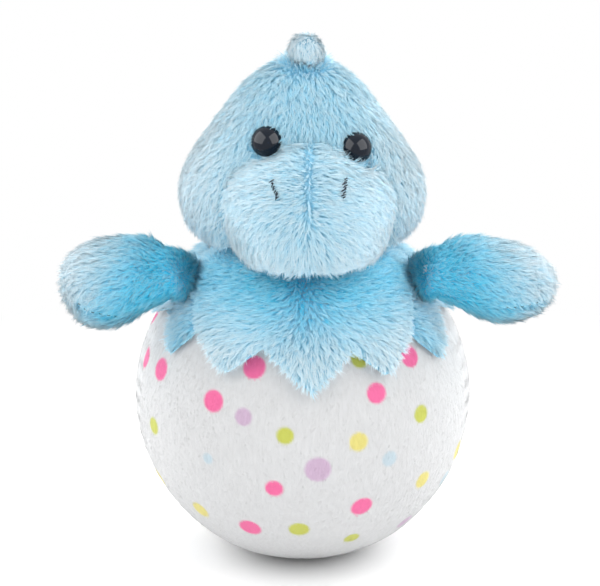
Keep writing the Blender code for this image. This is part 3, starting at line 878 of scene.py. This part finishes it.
def add_stuffed(
    stem, body, panels, fibre, form, depth, rng, held=nothing_held, grooves=None, shaped=None, evened=0
):
    """Skins of a stuffed form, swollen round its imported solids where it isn't held, with fibre inside.

    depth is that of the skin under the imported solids, or a function of points that gives it. shaped is a
    function that moves the swollen form's points, which are then evened out over some rounds.
    """
    piece = joined_solids(f"{stem}_form", panels + fibre)
    remeshed(piece, form.voxel, SMOOTHING)
    inset = depth(vertex_points(piece.data)) if callable(depth) else depth
    push(piece.data, -(inset + form.swell))
    swell(piece, held, form.swell, form.radius)
    subdivided(piece, 1)
    for node in fibre:
        add_lumps(node, stem, LIMB_FILLING, FIBRE, rng)
    draw_seams(piece, panels, grooves or {})
    if shaped:
        set_points(piece.data, shaped(vertex_points(piece.data)))
        smoothed(piece.data, evened)
    return split_skin(piece, panels, body, BACKING, SKIN_THICKNESS)


def turned(profile, base, axis, columns):
    """Points and faces of a solid turned about an axis from (distance along it, radius) points."""
    axis = unit(np.asarray(axis, dtype=float))
    side = unit(np.cross(axis, Z_AXIS))
    other = np.cross(axis, side)
    turn = np.linspace(0.0, 2 * math.pi, columns, endpoint=False)
    circle = np.cos(turn)[:, None] * side + np.sin(turn)[:, None] * other
    points = np.concatenate([base + along * axis + radius * circle for along, radius in profile])
    faces = []
    for row in range(len(profile) - 1):
        for k in range(columns):
            a = row * columns + k
            b = row * columns + (k + 1) % columns
            faces.append((a, b, b + columns, a + columns))
    return points, faces


# Head

HEAD_PANELS = ["head_panel_left", "head_panel_right"]
MUZZLE_PANELS = ["muzzle_panel_left", "muzzle_panel_right"]
MUZZLE_SIDE = 0.0015
MUZZLE_MIDDLE = 0.5 * sum(corner[2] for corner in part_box("muzzle_panel_left"))
NECK_PIVOT = pivot_of("head")
KNOB_LOW, KNOB_HIGH = (np.array(corner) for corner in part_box("crest_knob"))
KNOB_MIDDLE = 0.5 * (KNOB_LOW + KNOB_HIGH)
KNOB_RISE = 0.0022
KNOB_SPREAD = 0.007


def settled_eye(side):
    """The tip of an eye's dome, its axis outwards and its radius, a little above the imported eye's place."""
    points = packed_points(f"eye_{side}")
    middle, axis = long_axis(points)
    axis *= -np.sign(axis[1])
    height, aside = about(points, middle, axis)
    up = unit(Z_AXIS - axis * axis[2])
    tip = middle + height.max() * axis + EYE_RISE[side] * up
    return tip, axis, norms(aside).max()


EYES = {side: settled_eye(side) for side in ("left", "right")}


def add_eye(side):
    """A glossy dome on a short rim, with its stem."""
    tip, axis, radius = EYES[side]
    curve = (radius**2 + EYE_DOME**2) / (2 * EYE_DOME)
    angles = np.linspace(0.0, math.asin(radius / curve), EYE_STEPS)
    profile = [(curve * (math.cos(a) - 1.0), curve * math.sin(a)) for a in angles]
    profile[0] = (0.0, 0.0)
    back = -EYE_DOME - EYE_RIM
    reach = -np.ptp(packed_points(f"eye_{side}") @ axis)
    profile += [(back + 0.3 * EYE_RIM, radius), (back, radius - 0.2 * MM), (back, STEM_RADIUS)]
    profile += [(reach + 0.4 * MM, STEM_RADIUS), (reach, 0.7 * STEM_RADIUS), (reach, 0.0)]
    points, faces = turned(profile[::-1], tip, axis, EYE_COLUMNS)
    eye = new_piece(f"eye_{side}_dome", points, faces, EYE_PLASTIC)
    weld = eye.modifiers.new("weld", "WELD")
    weld.merge_threshold = 1e-6
    apply_modifiers(eye)
    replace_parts(place(eye, "head"), f"eye_{side}")


def clear_of_eyes(points, normals):
    clear = np.ones(len(points), dtype=bool)
    for tip, axis, radius in EYES.values():
        height, aside = about(points, tip, axis)
        clear &= (norms(aside) > radius + EYE_GAP) | (height < -EYE_REACH)
    return clear


def round_the_knob(points):
    """The crown drawn up a little to the knob sewn into it."""
    off = norms((points - KNOB_MIDDLE)[:, :2])
    high = ramp(points[:, 2], KNOB_MIDDLE[2] - 12 * MM, KNOB_MIDDLE[2] - 4 * MM)
    return points + (KNOB_RISE * bell(off, KNOB_SPREAD) * high)[:, None] * Z_AXIS


def over_washers(points):
    """The skin round the eyes kept out over the washers inside it."""
    for side, (tip, axis, _) in EYES.items():
        washer = (packed_points(f"eye_washer_{side}") - tip) @ axis
        height, aside = about(points, tip, axis)
        short = washer.max() + SKIN_THICKNESS + WASHER_GAP - height
        short[(short < 0.0) | (short > WASHER_LIFT)] = 0.0
        near = 1.0 - ramp(norms(aside), *WASHER_COVER)
        points = points + (short * near)[:, None] * axis
    return points


def head_shape(points):
    return over_washers(round_the_knob(points))


def onto_eyes(wanted, points):
    """A combing turned onto the eyes at their rims, where the pile stands up against them."""
    for tip, axis, radius in EYES.values():
        height, aside = about(points, tip, axis)
        near = 1.0 - ramp(norms(aside) - radius, *EYE_RUFF)
        near *= np.abs(height) < EYE_REACH
        wanted = wanted + near[:, None] * (-0.35 * unit(aside) - wanted)
    return wanted


def head_comb(points, normals):
    """Down from the crown and out to the sides; close to the knob the pile stands up against it."""
    flat = (points - NECK_PIVOT) / (12 * MM)
    flat[:, 2] = 0.0
    flat /= np.maximum(1.0, norms(flat))[:, None]
    laid = 0.15 + 0.85 * ramp(norms(points - KNOB_MIDDLE), 6.0 * MM, 10.0 * MM)
    return onto_eyes(laid[:, None] * (-Z_AXIS + 0.7 * flat), points)


def muzzle_comb(points, normals):
    """Away from the middle seam, and more and more down towards the chin."""
    side = points[:, 0] - MUZZLE_SIDE
    low = ramp(MUZZLE_MIDDLE + 4 * MM - points[:, 2], 0.0, 16 * MM)
    wanted = np.zeros_like(points)
    wanted[:, 0] = 0.8 * np.clip(side / (0.6 * MM), -1.0, 1.0) + 0.35 * np.clip(side / (6 * MM), -1.0, 1.0)
    wanted[:, 2] = -0.35 - 1.5 * low - 0.5 * bell(side, 0.6 * MM)
    return onto_eyes(wanted, points)


def head_tone(points, normals):
    """Paler to the sides: painted light and sheen on the cheeks and the sides of the head."""
    return 0.62 + 0.30 * ramp(np.abs(points[:, 0]), 8 * MM, 30 * MM)


def muzzle_tone(points, normals):
    """Paler away from the seam and towards the chin."""
    side = np.abs(points[:, 0] - MUZZLE_SIDE)
    low = MUZZLE_MIDDLE - points[:, 2]
    return 0.73 + 0.07 * ramp(side, 1 * MM, 14 * MM) + 0.10 * ramp(low, 0.0, 12 * MM)


def under_head(points, normals):
    """Short pile on the underside, where the head rests on the collar."""
    return 1.0 - 0.65 * ramp(-normals[:, 2], 0.45, 0.85)


def chin_fringe(points, normals):
    """Longer pile that hangs from the chin."""
    return under_head(points, normals) * (1.0 + 0.35 * ramp(-normals[:, 2], 0.05, 0.40))


def head_scale(muzzle):
    """Short pile along the muzzle's seam and on the underside."""
    def scale(points, normals):
        off = norms(points - muzzle[nearest_of(points, muzzle)])
        return under_head(points, normals) * (0.45 + 0.55 * ramp(off, 0.4 * MM, 3.4 * MM))

    return scale


HEAD_GROOVES = {
    ("head_panel_left", "muzzle_panel_left"): (1.0 * MM, 2.2 * MM),
    ("head_panel_right", "muzzle_panel_right"): (1.0 * MM, 2.2 * MM),
    ("muzzle_panel_left", "muzzle_panel_right"): (0.15 * MM, 1.2 * MM),
}


def head_seams(points):
    return (points[:, 1] < -0.027) & (np.abs(points[:, 0] - MUZZLE_SIDE) < 1.3 * MM)


def build_head(rng):
    skins = add_stuffed(
        "head", "head", HEAD_PANELS + MUZZLE_PANELS, ["head_stuffing"], HEAD_FORM, HEAD_PILE.depth, rng,
        head_seams, HEAD_GROOVES, head_shape
    )
    muzzle = [skins[node].points[np.unique(skins[node].triangles)] for node in MUZZLE_PANELS]
    scale = head_scale(np.concatenate(muzzle))
    for node in HEAD_PANELS:
        pile = grow_pile(skins[node], HEAD_PILE, head_comb, head_tone, rng, clear_of_eyes, scale)
        add_strands(f"{node}_pile", "head", pile, BLUE_PILE)
    for node in MUZZLE_PANELS:
        pile = grow_pile(skins[node], MUZZLE_PILE, muzzle_comb, muzzle_tone, rng, clear_of_eyes, chin_fringe)
        add_strands(f"{node}_pile", "head", pile, BLUE_PILE)
    build_knob(rng)
    for side in EYES:
        add_eye(side)


def build_knob(rng):
    def comb(points, normals):
        """Down over the front from high on the back, and out over the head."""
        return unit(points - KNOB_MIDDLE) * 0.3 - [0.0, 0.9, 1.0]

    def tone(points, normals):
        return 0.94 + 0.06 * ramp(points[:, 2], KNOB_LOW[2], KNOB_MIDDLE[2])

    skins = add_stuffed("knob", "head", ["crest_knob"], [], KNOB_FORM, KNOB_PILE.depth, rng)
    pile = grow_pile(skins["crest_knob"], KNOB_PILE, comb, tone, rng)
    add_strands("crest_knob_pile", "head", pile, BLUE_PILE)


def build_neck(rng):
    def tone(points, normals):
        return np.full(len(points), 0.1)

    def exposed(points, normals):
        return points[:, 2] > NECK_PIVOT[2] - 6 * MM

    skins = add_stuffed("neck", "neck", ["neck_plug"], [], NECK_FORM, NECK_PILE.depth, rng)
    pile = grow_pile(skins["neck_plug"], NECK_PILE, head_comb, tone, rng, exposed)
    add_strands("neck_plug_pile", "neck", pile, BLUE_PILE)


# Thread

STITCH_STEPS = 9
STITCH_SIDES = 8
STITCH_PITCH = 0.0019
STITCH_LENGTH = 0.0009
STITCH_RADIUS = 0.00010


def add_stitches(name, body, starts, ends, normals, radius, bow):
    """Short threads between pairs of points, each bowed out along its normal and rounded at its ends."""
    steps = np.linspace(0.0, 1.0, STITCH_STEPS)
    width = radius * np.sqrt(np.clip(1.0 - (2 * steps - 1.0) ** 6, 0.04, 1.0))
    paths = starts[:, None, :] + steps[None, :, None] * (ends - starts)[:, None, :]
    paths = paths + bow * np.sin(math.pi * steps)[None, :, None] * normals[:, None, :]
    side = unit(np.cross(ends - starts, normals))
    turns = np.linspace(0.0, 2 * math.pi, STITCH_SIDES, endpoint=False)
    round_about = np.cos(turns)[None, :, None] * side[:, None, :]
    round_about = round_about + np.sin(turns)[None, :, None] * normals[:, None, :]
    rings = paths[:, :, None, :] + width[None, :, None, None] * round_about[:, None, :, :]
    points = np.concatenate([rings.reshape(len(starts), -1, 3), paths[:, [0, -1]]], axis=1)
    faces = []
    last = (STITCH_STEPS - 1) * STITCH_SIDES
    middle = STITCH_STEPS * STITCH_SIDES
    for k in range(STITCH_SIDES):
        after = (k + 1) % STITCH_SIDES
        for row in range(0, last, STITCH_SIDES):
            a, b = row + k, row + after
            faces += [(a, b, b + STITCH_SIDES), (a, b + STITCH_SIDES, a + STITCH_SIDES)]
        faces += [(after, k, middle), (last + k, last + after, middle + 1)]
    faces = np.array(faces)[None, :, :] + (np.arange(len(starts)) * (middle + 2))[:, None, None]
    return place(new_piece(name, points.reshape(-1, 3), faces.reshape(-1, 3), THREAD), body)


# Arms

SHOULDER_RADIUS = 0.0065
SHOULDER_FULLER = 0.0005
SHOULDER_END = (0.002, 0.014)
BEND_START = 0.0015
DIP_FILL = 0.0019
DIP_BELOW = 0.4
DIP_PLACE = 0.0040
DIP_SPAN = 0.0040
CAP_ANGLE = math.radians(25)
FRONT_EASE = 0.38
EASE_SPAN = (0.002, 0.015)

# Crease where each arm is sewn to the collar in the photograph: its top and its bottom, in pixels
ROOT_CREASES = {"left": ((199, 257), (188, 292)), "right": ((411, 256), (422, 290))}
ROOT_FLAT = 0.0026
ROOT_LEVEL = 0.0484
ROOT_REACH = 0.0462
ROOT_SHOWS = 0.0470

# Sewn seam near each arm's tip in the photograph, in pixels
ARM_SEAMS = {
    "left": ((81, 302), (86, 307), (92, 310), (101, 312), (114, 314)),
    "right": ((505, 305.5), (520, 305), (528, 303), (534, 301.5), (540, 299)),
}
ARM_SEAM_WIDTH = 0.0014


def seam_on(piece, pixels):
    """Points and normals on a piece along a line of pixels of the photograph, a stitch's pitch apart."""
    tree = surface_tree(piece.data)
    pixels = np.array(pixels)
    run = np.concatenate([[0.0], np.cumsum(norms(np.diff(pixels, axis=0)))])
    wanted = np.linspace(0.0, run[-1], int(run[-1] * METRES_PER_PIXEL / STITCH_PITCH) + 1)
    eye = Vector(camera_spot())
    hits = []
    for across, down in zip(np.interp(wanted, run, pixels[:, 0]), np.interp(wanted, run, pixels[:, 1])):
        spot, normal, _, _ = tree.ray_cast(eye, Vector(pixel_ray(across, down)))
        if spot is not None:
            hits.append((spot, normal))
    return np.array([spot for spot, _ in hits]), np.array([normal for _, normal in hits])


def build_arm(side, rng):
    body = f"arm_{side}"
    panels = [f"arm_{side}_front_panel", f"arm_{side}_back_panel"]
    pivot = pivot_of(body)
    solids = [packed_points(node) for node in panels]
    both = np.concatenate(solids)
    tip = both[np.argmax(norms(both - pivot))]
    length = np.linalg.norm(tip - pivot)
    outward = (tip - pivot) / length
    facing = unit(solids[0].mean(axis=0) - solids[1].mean(axis=0))
    facing = unit(facing - outward * np.dot(facing, outward))
    upright = np.cross(outward, facing)
    upright *= np.sign(upright[2])
    crease = [ROOT_REACH * spot_on_egg(*pixel, ROOT_LEVEL) for pixel in ROOT_CREASES[side]]
    root_tall = 0.5 * (crease[0] - crease[1])
    root_thick = ROOT_FLAT * unit(np.cross(root_tall, crease[0] + crease[1]))
    root_thick *= np.sign(root_thick @ facing)
    sewn_on = EGG_CENTRE + 0.5 * (crease[0] + crease[1]) - root_thick

    def held(points):
        return np.abs((points - pivot) @ facing) < 1.0 * MM

    def drawn_to_collar(points):
        """A fuller shoulder, its round end drawn out on a bent path to the crease beside the chest."""
        along, aside = about(points, pivot, outward)
        over = aside @ upright / SHOULDER_RADIUS
        over = np.where(over > 0.0, over, DIP_BELOW * over)
        filled = DIP_FILL * over * bell(along - DIP_PLACE, DIP_SPAN)
        fuller = 1.0 + SHOULDER_FULLER / SHOULDER_RADIUS * (1.0 - ramp(along, *SHOULDER_END))
        full = fuller[:, None] * np.where((along < 0.0)[:, None], SHOULDER_RADIUS * unit(aside), aside)
        angle = np.arccos(np.clip(-along / SHOULDER_RADIUS, 0.0, 1.0))
        run = BEND_START - np.maximum(along, 0.0) + SHOULDER_RADIUS * (0.5 * math.pi - angle)
        path = BEND_START + SHOULDER_RADIUS * (0.5 * math.pi - CAP_ANGLE)
        share = np.clip(run / path, 0.0, 1.0)[:, None]
        start = pivot + BEND_START * outward
        middle = start - share * (1.0 - share) * path * outward + share**2 * (sewn_on - start)
        sewn = (full @ upright)[:, None] * root_tall + (full @ facing)[:, None] * root_thick
        front = FRONT_EASE * np.maximum(full @ facing, 0.0) * (1.0 - ramp(along, *EASE_SPAN))
        eased = full - front[:, None] * facing
        ring = eased + share**1.5 * (sewn / SHOULDER_RADIUS - eased)
        drawn = middle + np.clip(angle / CAP_ANGLE, 0.0, 1.0)[:, None] * ring
        straight = pivot + along[:, None] * outward + eased
        return np.where((along < BEND_START)[:, None], drawn, straight) + filled[:, None] * upright

    def comb(points, normals):
        """Along the arm, fanning out to the paddle's edges, and down from the seam near the tip."""
        along = (points - pivot) @ outward / length
        up = (points - pivot) @ upright
        fan = 0.9 * ramp(along, 0.45, 1.0) * up / (12 * MM)
        droop = 0.45 * ramp(-up, 0.0, 9 * MM) + 0.35 * ramp(along, 0.75, 1.0)
        return outward + (fan - droop)[:, None] * upright

    def tone(points, normals):
        """Deep blue at the shoulder, painted shade in the recess where the arm is sewn on beside the chest;
        pale at the tip and paler towards the top. Deeper along the seam near the tip, and paler on the back.
        """
        along = (points - pivot) @ outward / length
        up = (points - pivot) @ upright / (12 * MM)
        sewn = bell(off_seam(points), ARM_SEAM_WIDTH)
        behind = ramp((pivot - points) @ facing, 0.0, 5 * MM)
        return 0.04 + 0.88 * ramp(along + 0.22 * up, 0.02, 0.88) - 0.4 * sewn + 0.2 * behind

    def depth(points):
        """Depth of the skin under the pile, less over the shoulder."""
        return ARM_PILE.depth * (0.15 + 0.85 * ramp((points - pivot) @ outward, 4 * MM, 16 * MM))

    def off_seam(points):
        return norms(points - spots[nearest_of(points, spots)])

    def scale(points, normals):
        """Shorter pile at the shoulder and along the seam near the tip."""
        along = (points - pivot) @ outward
        sewn = 1.0 - ramp(off_seam(points), 0.3 * ARM_SEAM_WIDTH, ARM_SEAM_WIDTH)
        return (0.8 + 0.2 * ramp(along, 0.0, 12 * MM)) * (1.0 - 0.65 * sewn)

    def shows(points, normals):
        return norms(points - EGG_CENTRE) > ROOT_SHOWS

    span = Span("egg_body", body, sewn_on.tolist(), (pivot + 3 * MM * outward).tolist())
    fibre = [f"arm_{side}_stuffing"]
    skins = add_stuffed(
        body, span, panels, fibre, ARM_FORM, depth, rng, held, shaped=drawn_to_collar, evened=24
    )
    spots, spot_normals = seam_on(bpy.data.objects[f"{panels[0]}_skin"], ARM_SEAMS[side])
    for node in panels:
        pile = grow_pile(skins[node], ARM_PILE, comb, tone, rng, shows, scale)
        add_strands(f"{node}_pile", span, pile, ARM_BLUE_PILE)
    ahead = unit(np.gradient(spots, axis=0))
    raised = spots + 0.8 * ARM_PILE.depth * spot_normals
    ends = raised + STITCH_LENGTH * ahead
    add_stitches(f"{body}_seam_thread", body, raised, ends, spot_normals, STITCH_RADIUS, 0.2 * MM)


# Collar

COLLAR_INNER = 0.04665
COLLAR_SKIN = 0.0009
CHEST_PUFF = 0.0012
CHEST_EDGE = math.radians(45)
HEM_TUCK = 0.034
HEM_TOP = 0.0345


def above_middle(points):
    """Height above the egg's centre."""
    return points[:, 2] - EGG_CENTRE[2]


def azimuth_of(points):
    return np.arctan2(points[:, 0], -points[:, 1])


def collar_comb(points, normals):
    """Down to the hem, and away from the middle of the chest near the neck."""
    around = azimuth_of(points)
    sideways = np.stack([np.cos(around), np.sin(around), np.zeros(len(points))], axis=1)
    front = np.cos(around) > 0.0
    height = above_middle(points)
    spread = np.clip(around / 0.35, -1.0, 1.0) * (0.25 + 1.1 * ramp(height, 0.020, 0.038)) * front
    return -Z_AXIS + spread[:, None] * sideways


def fringed(edge):
    """The collar's combing, turned out over the edge close to it."""
    def comb(points, normals):
        to_edge = edge[nearest_of(points, edge)] - points
        near = 1.0 - ramp(norms(to_edge), 0.4 * MM, 2.2 * MM)
        return collar_comb(points, normals) + 1.3 * near[:, None] * unit(to_edge)

    return comb


def hem_of(skin):
    """Points along a skin's lower edge."""
    spots, number = np.unique(np.round(skin.points, 6), axis=0, return_inverse=True)
    sides = np.sort(number.reshape(-1)[skin.triangles][:, [0, 1, 1, 2, 2, 0]].reshape(-1, 2), axis=1)
    sides, count = np.unique(sides, axis=0, return_counts=True)
    edge = spots[sides[count == 1]].mean(axis=1)
    return edge[edge[:, 2] < EGG_CENTRE[2] + HEM_TOP]


def chest_tone(points, normals):
    """Deep blue under the chin, painted shade; deeper in the dart, pale at the hem and the sides."""
    height = above_middle(points)
    dart = bell(points[:, 0], 1.0 * MM) * ramp(height, 0.028, 0.031)
    aside = np.abs(azimuth_of(points)) / CHEST_EDGE
    return 0.12 + 0.76 * ramp(-height, -0.040, -0.023) + 0.14 * ramp(aside, 0.3, 1.0) - 0.2 * dart


def flap_tone(points, normals):
    """Painted shade: deep blue in the fold beside the chest and round the sides towards the back, deeper also
    high up below the arms; paler away from the fold.
    """
    beside = ramp(np.abs(azimuth_of(points)), CHEST_EDGE, CHEST_EDGE + 0.36)
    high = ramp(above_middle(points), 0.032, 0.038)
    behind = ramp(np.abs(azimuth_of(points)), 1.20, 1.40)
    return 0.42 + 0.42 * beside - 0.50 * high * (1.0 - 0.5 * behind) - 0.20 * behind * (1.0 - high)


HEM_STEPS = (0.0008, 0.0016, 0.0024, 0.0032)
UNDER_CHIN = (0.0410, 0.0430)


def strand_room(node, comb):
    """How much of a strand's length the collar's panel and the head above it leave room for."""
    tree = surface_tree(packed(node))

    def scale(points, normals):
        along = unit(combed(normals, comb(points, normals), np.zeros(len(points))))
        share = np.full(len(points), 0.24)
        for step in HEM_STEPS:
            ahead = unit(points + step * along - EGG_CENTRE)
            covered = [tree.ray_cast(Vector(EGG_CENTRE), way)[0] is not None for way in ahead.tolist()]
            share += np.array(covered) * 0.76 / len(HEM_STEPS)
        return share * (1.0 - 0.6 * ramp(above_middle(points), *UNDER_CHIN))

    return scale


def build_collar(rng):
    for node, puff, tone in (("collar_front", CHEST_PUFF, chest_tone), ("collar_back", 0.0, flap_tone)):
        form = joined_solids(f"{node}_skin", [node])
        subdivided(form, 2, "SIMPLE")
        away = vertex_points(form.data) - EGG_CENTRE
        radius = norms(away)
        inner = radius < COLLAR_INNER + 0.5 * MM
        reach = np.where(inner, COLLAR_INNER, COLLAR_INNER + COLLAR_SKIN + puff)
        polar = np.arccos(away[:, 2] / radius) * (1.0 - HEM_TUCK)
        around = azimuth_of(away)
        flat = np.stack([np.sin(around), -np.cos(around)], axis=1) * np.sin(polar)[:, None]
        set_points(form.data, EGG_CENTRE + np.column_stack([flat, np.cos(polar)]) * reach[:, None])
        form.data.materials.append(BACKING)
        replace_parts(place(form, "egg_body"), node)
        skin = skin_of(form)
        outer = ~inner[skin.triangles].any(axis=1)
        skin = skin._replace(triangles=skin.triangles[outer], normals=unit(skin.points - EGG_CENTRE))
        comb = fringed(hem_of(skin))
        pile = grow_pile(skin, COLLAR_PILE, comb, tone, rng, None, strand_room(node, comb))
        add_strands(f"{node}_pile", "egg_body", pile, BLUE_PILE)


# Egg

EGG_PANELS = ["egg_front_panel", "egg_back_panel", "egg_base_panel"]
EGG_CUTS = 34
EGG_SWELL = 0.0003
EGG_GROUND = 0.0003
SEAM_DEPTH = 0.00012
SEAM_WIDTH = 0.0012
PUCKER_HEIGHT = 0.00010
PUCKER_PITCH = 0.0056
PUCKER_REACH = 0.0045
DART_LENGTH = 0.0070
HEM_COVER = 0.0030


def ball_grid(cuts):
    """Directions and quads of a cube's six grids blown up to a ball."""
    lines = np.tan(np.linspace(-1.0, 1.0, cuts + 1) * math.pi / 4)
    u, v = np.meshgrid(lines, lines, indexing="ij")
    sheet = np.arange(u.size).reshape(u.shape)
    corners = [sheet[:-1, :-1], sheet[1:, :-1], sheet[1:, 1:], sheet[:-1, 1:]]
    quads = np.stack(corners, axis=-1).reshape(-1, 4)
    directions = []
    faces = []
    for axis in range(3):
        for sign in (1.0, -1.0):
            side = np.zeros((sheet.size, 3))
            side[:, axis] = sign
            side[:, (axis + 1) % 3] = sign * u.ravel()
            side[:, (axis + 2) % 3] = v.ravel()
            faces.append(quads + len(directions) * sheet.size)
            directions.append(unit(side))
    kept, index = np.unique(np.round(np.concatenate(directions), 6), axis=0, return_inverse=True)
    return kept, index.reshape(-1)[np.concatenate(faces)]


def seam_distance(points):
    """Distance round the egg to the nearer side seam."""
    return np.hypot(points[:, 0], points[:, 1]) * np.abs(np.abs(azimuth_of(points)) - EGG_SEAM_AZIMUTH)


def egg_held(points):
    return (seam_distance(points) < 1.2 * MM) | (points[:, 2] < 2 * EGG_GROUND)


def egg_relief(points, rng):
    """How far the skin stands out: puckers at the sewn sides, a dart and a fold low in front, lumps."""
    off = seam_distance(points)
    height = EGG_RADIUS * np.arcsin(np.clip(above_middle(points) / EGG_RADIUS, -1.0, 1.0))
    sewn = bell(off, SEAM_WIDTH)
    ripple = np.sin(2 * math.pi * height / PUCKER_PITCH + 1.5 * np.sin(height / (9 * MM)))
    relief = PUCKER_HEIGHT * ripple * bell(off, PUCKER_REACH) - SEAM_DEPTH * sewn
    in_front = points[:, 1] < 0.0
    up = norms(points - [0.0, -BASE_RADIUS, 0.0])
    dart = bell(points[:, 0], 0.8 * MM) * ramp(-up, -DART_LENGTH, -0.3 * DART_LENGTH)
    relief -= SEAM_DEPTH * dart * in_front
    fold = bell(points[:, 2] - 3.4 * MM - 0.08 * points[:, 0], 0.9 * MM)
    relief -= 0.5 * SEAM_DEPTH * fold * bell(points[:, 0] + 5 * MM, 8 * MM) * in_front
    relief += 0.12 * MM * waves(points, 0.013, rng)
    return relief * ramp(points[:, 2], EGG_GROUND, 2.5 * MM)


def spot_on_egg(across, down, radius=EGG_RADIUS):
    """Direction from the egg's centre to what a pixel of the photograph shows on a ball round it."""
    eye = camera_spot() - EGG_CENTRE
    ray = pixel_ray(across, down)
    middle = -float(ray @ eye)
    inside = radius**2 - float(eye @ eye) + middle**2
    return unit(eye + (middle - math.sqrt(max(inside, 0.0))) * ray)


def printed_dots(rng):
    """Colour number, direction and radius of each dot: those in the photograph, then some out of view."""
    dots = []
    for colour, spots in SEEN_DOTS.items():
        dots += [(DOT_NAMES.index(colour), spot_on_egg(x, y), size * MM / 2) for x, y, size in spots]
    wanted = len(dots) + UNSEEN_DOTS
    while len(dots) < wanted:
        direction = unit(rng.normal(size=3))
        nearest = max(np.dot(direction, other) for _, other, _ in dots)
        out_of_view = np.dot(direction, TO_CAMERA) < -0.05
        if out_of_view and abs(direction[2]) < 0.88 and nearest < math.cos(DOT_SPACING / EGG_RADIUS):
            dots.append((int(rng.integers(1, len(DOT_NAMES))), direction, rng.uniform(*UNSEEN_RADII)))
    return dots


def inside_dot(points, direction, radius):
    """How far inside a dot's edge points on the egg lie, in metres."""
    return radius - EGG_RADIUS * np.arccos(np.clip(unit(points - EGG_CENTRE) @ direction, -1.0, 1.0))


def printed_at(points, dots):
    """The number of the print's colour at each point."""
    colour = np.zeros(len(points), dtype=int)
    for number, direction, radius in dots:
        colour[inside_dot(points, direction, radius) > 0.0] = number
    return colour


def print_on(mesh, dots):
    """Dots with soft edges on the skin under the nap."""
    points = vertex_points(mesh)
    colours = np.array([(*DOT_COLOURS[name], 1.0) for name in DOT_NAMES])
    shown = np.tile(colours[0], (len(points), 1))
    for number, direction, radius in dots:
        share = ramp(inside_dot(points, direction, radius), -DOT_BLUR, DOT_BLUR)[:, None]
        shown += share * (colours[number] - shown)
    layer = mesh.color_attributes.new("print", "FLOAT_COLOR", "POINT")
    layer.data.foreach_set("color", shown.astype(np.float32).ravel())


def bare_of_collar():
    """A test of which places on the egg the collar leaves bare, or hides by less than a little."""
    trees = [surface_tree(packed(node)) for node in ("collar_front", "collar_back")]

    def bare(points, normals):
        up = np.tile(Z_AXIS, (len(points), 1))
        lower = points - HEM_COVER * unit(combed(normals, up, np.zeros(len(points))))
        hidden = []
        for spot, normal in zip(lower.tolist(), unit(lower - EGG_CENTRE).tolist()):
            hidden.append(any(tree.ray_cast(spot, normal, 0.01)[0] is not None for tree in trees))
        return ~np.array(hidden) & (points[:, 2] > EGG_GROUND + 0.3 * MM)

    return bare


def build_egg(rng):
    directions, quads = ball_grid(EGG_CUTS)
    points = EGG_CENTRE + (EGG_RADIUS - NAP.depth - EGG_SWELL) * directions
    points[:, 2] = np.maximum(points[:, 2], EGG_GROUND)
    form = new_piece("egg_form", points, quads)
    swell(form, egg_held, EGG_SWELL, EGG_RADIUS)
    subdivided(form, 2)
    points = vertex_points(form.data)
    outward = unit(points - EGG_CENTRE)
    points += egg_relief(points, rng)[:, None] * outward
    points[:, 2] = np.maximum(points[:, 2], EGG_GROUND)
    set_points(form.data, points)

    dots = printed_dots(rng)
    bare = bare_of_collar()

    def nap_comb(points, normals):
        return np.tile(-3.0 * Z_AXIS, (len(points), 1))

    def nap_colour(points, normals):
        blurred = points + 0.10 * MM * rng.normal(size=points.shape)
        return (printed_at(blurred, dots) + 0.5) / len(DOT_NAMES)

    skins = split_skin(form, EGG_PANELS, "egg_body", EGG_FABRIC, SKIN_THICKNESS)
    for node in EGG_PANELS:
        print_on(bpy.data.objects[f"{node}_skin"].data, dots)
        if node != "egg_base_panel":
            nap = grow_pile(skins[node], NAP, nap_comb, nap_colour, rng, bare, mottle=0.0, steps=NAP_STEPS)
            add_strands(f"{node}_nap", "egg_body", nap, EGG_NAP, NAP_STEPS, NAP_ROUNDING)
    add_lumps("body_stuffing", "egg_body", BODY_FILLING, FIBRE, rng)
    add_lumps("pellet_bag", "egg_body", PELLET_FILLING, PELLETS, rng)


# Nostrils

NOSTRIL_THREADS = 9
NOSTRIL_THREAD_RADIUS = 0.00018
NOSTRIL_WIDTH = 0.0016
NOSTRIL_SINK = 0.0005


def add_nostril(side, rng):
    """A narrow ragged bar of short slanted stitches in dark thread."""
    node = f"nostril_{side}"
    points = packed_points(node)
    middle, along = long_axis(points)
    along *= -np.sign(along[2])
    reach = (points - middle) @ along
    across = unit(np.cross(along, [0.0, -1.0, 0.0]))
    outward = np.cross(across, along)
    outward *= -np.sign(outward[1])
    front = ((points - middle) @ outward).max() - NOSTRIL_SINK
    spots = np.linspace(reach.min() - 0.3 * MM, reach.max() - 0.4 * MM, NOSTRIL_THREADS)
    shift = rng.uniform(-0.2, 0.2, NOSTRIL_THREADS) * MM
    depth = front - rng.uniform(0.0, 0.3, NOSTRIL_THREADS) * MM
    depth -= 0.5 * MM * ramp(-spots, 0.5 * MM, 2.5 * MM)
    base = middle + depth[:, None] * outward + shift[:, None] * across + spots[:, None] * along
    slant = rng.uniform(0.2, 1.3, NOSTRIL_THREADS)
    half = 0.5 * NOSTRIL_WIDTH * rng.uniform(0.5, 1.2, NOSTRIL_THREADS)
    ways = half[:, None] * unit(across + slant[:, None] * along)
    facing = np.broadcast_to(outward, base.shape)
    name = f"{node}_thread"
    thread = add_stitches(name, "head", base - ways, base + ways, facing, NOSTRIL_THREAD_RADIUS, 0.25 * MM)
    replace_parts(thread, node)


rng = np.random.default_rng(SEED)
build_egg(rng)
build_collar(rng)
build_neck(rng)
build_head(rng)
for this_side in ("left", "right"):
    add_nostril(this_side, rng)
    build_arm(this_side, rng)
    washer = packed(f"eye_washer_{this_side}")
    washer.materials.clear()
    washer.materials.append(WASHER_PLASTIC)

set_stage()
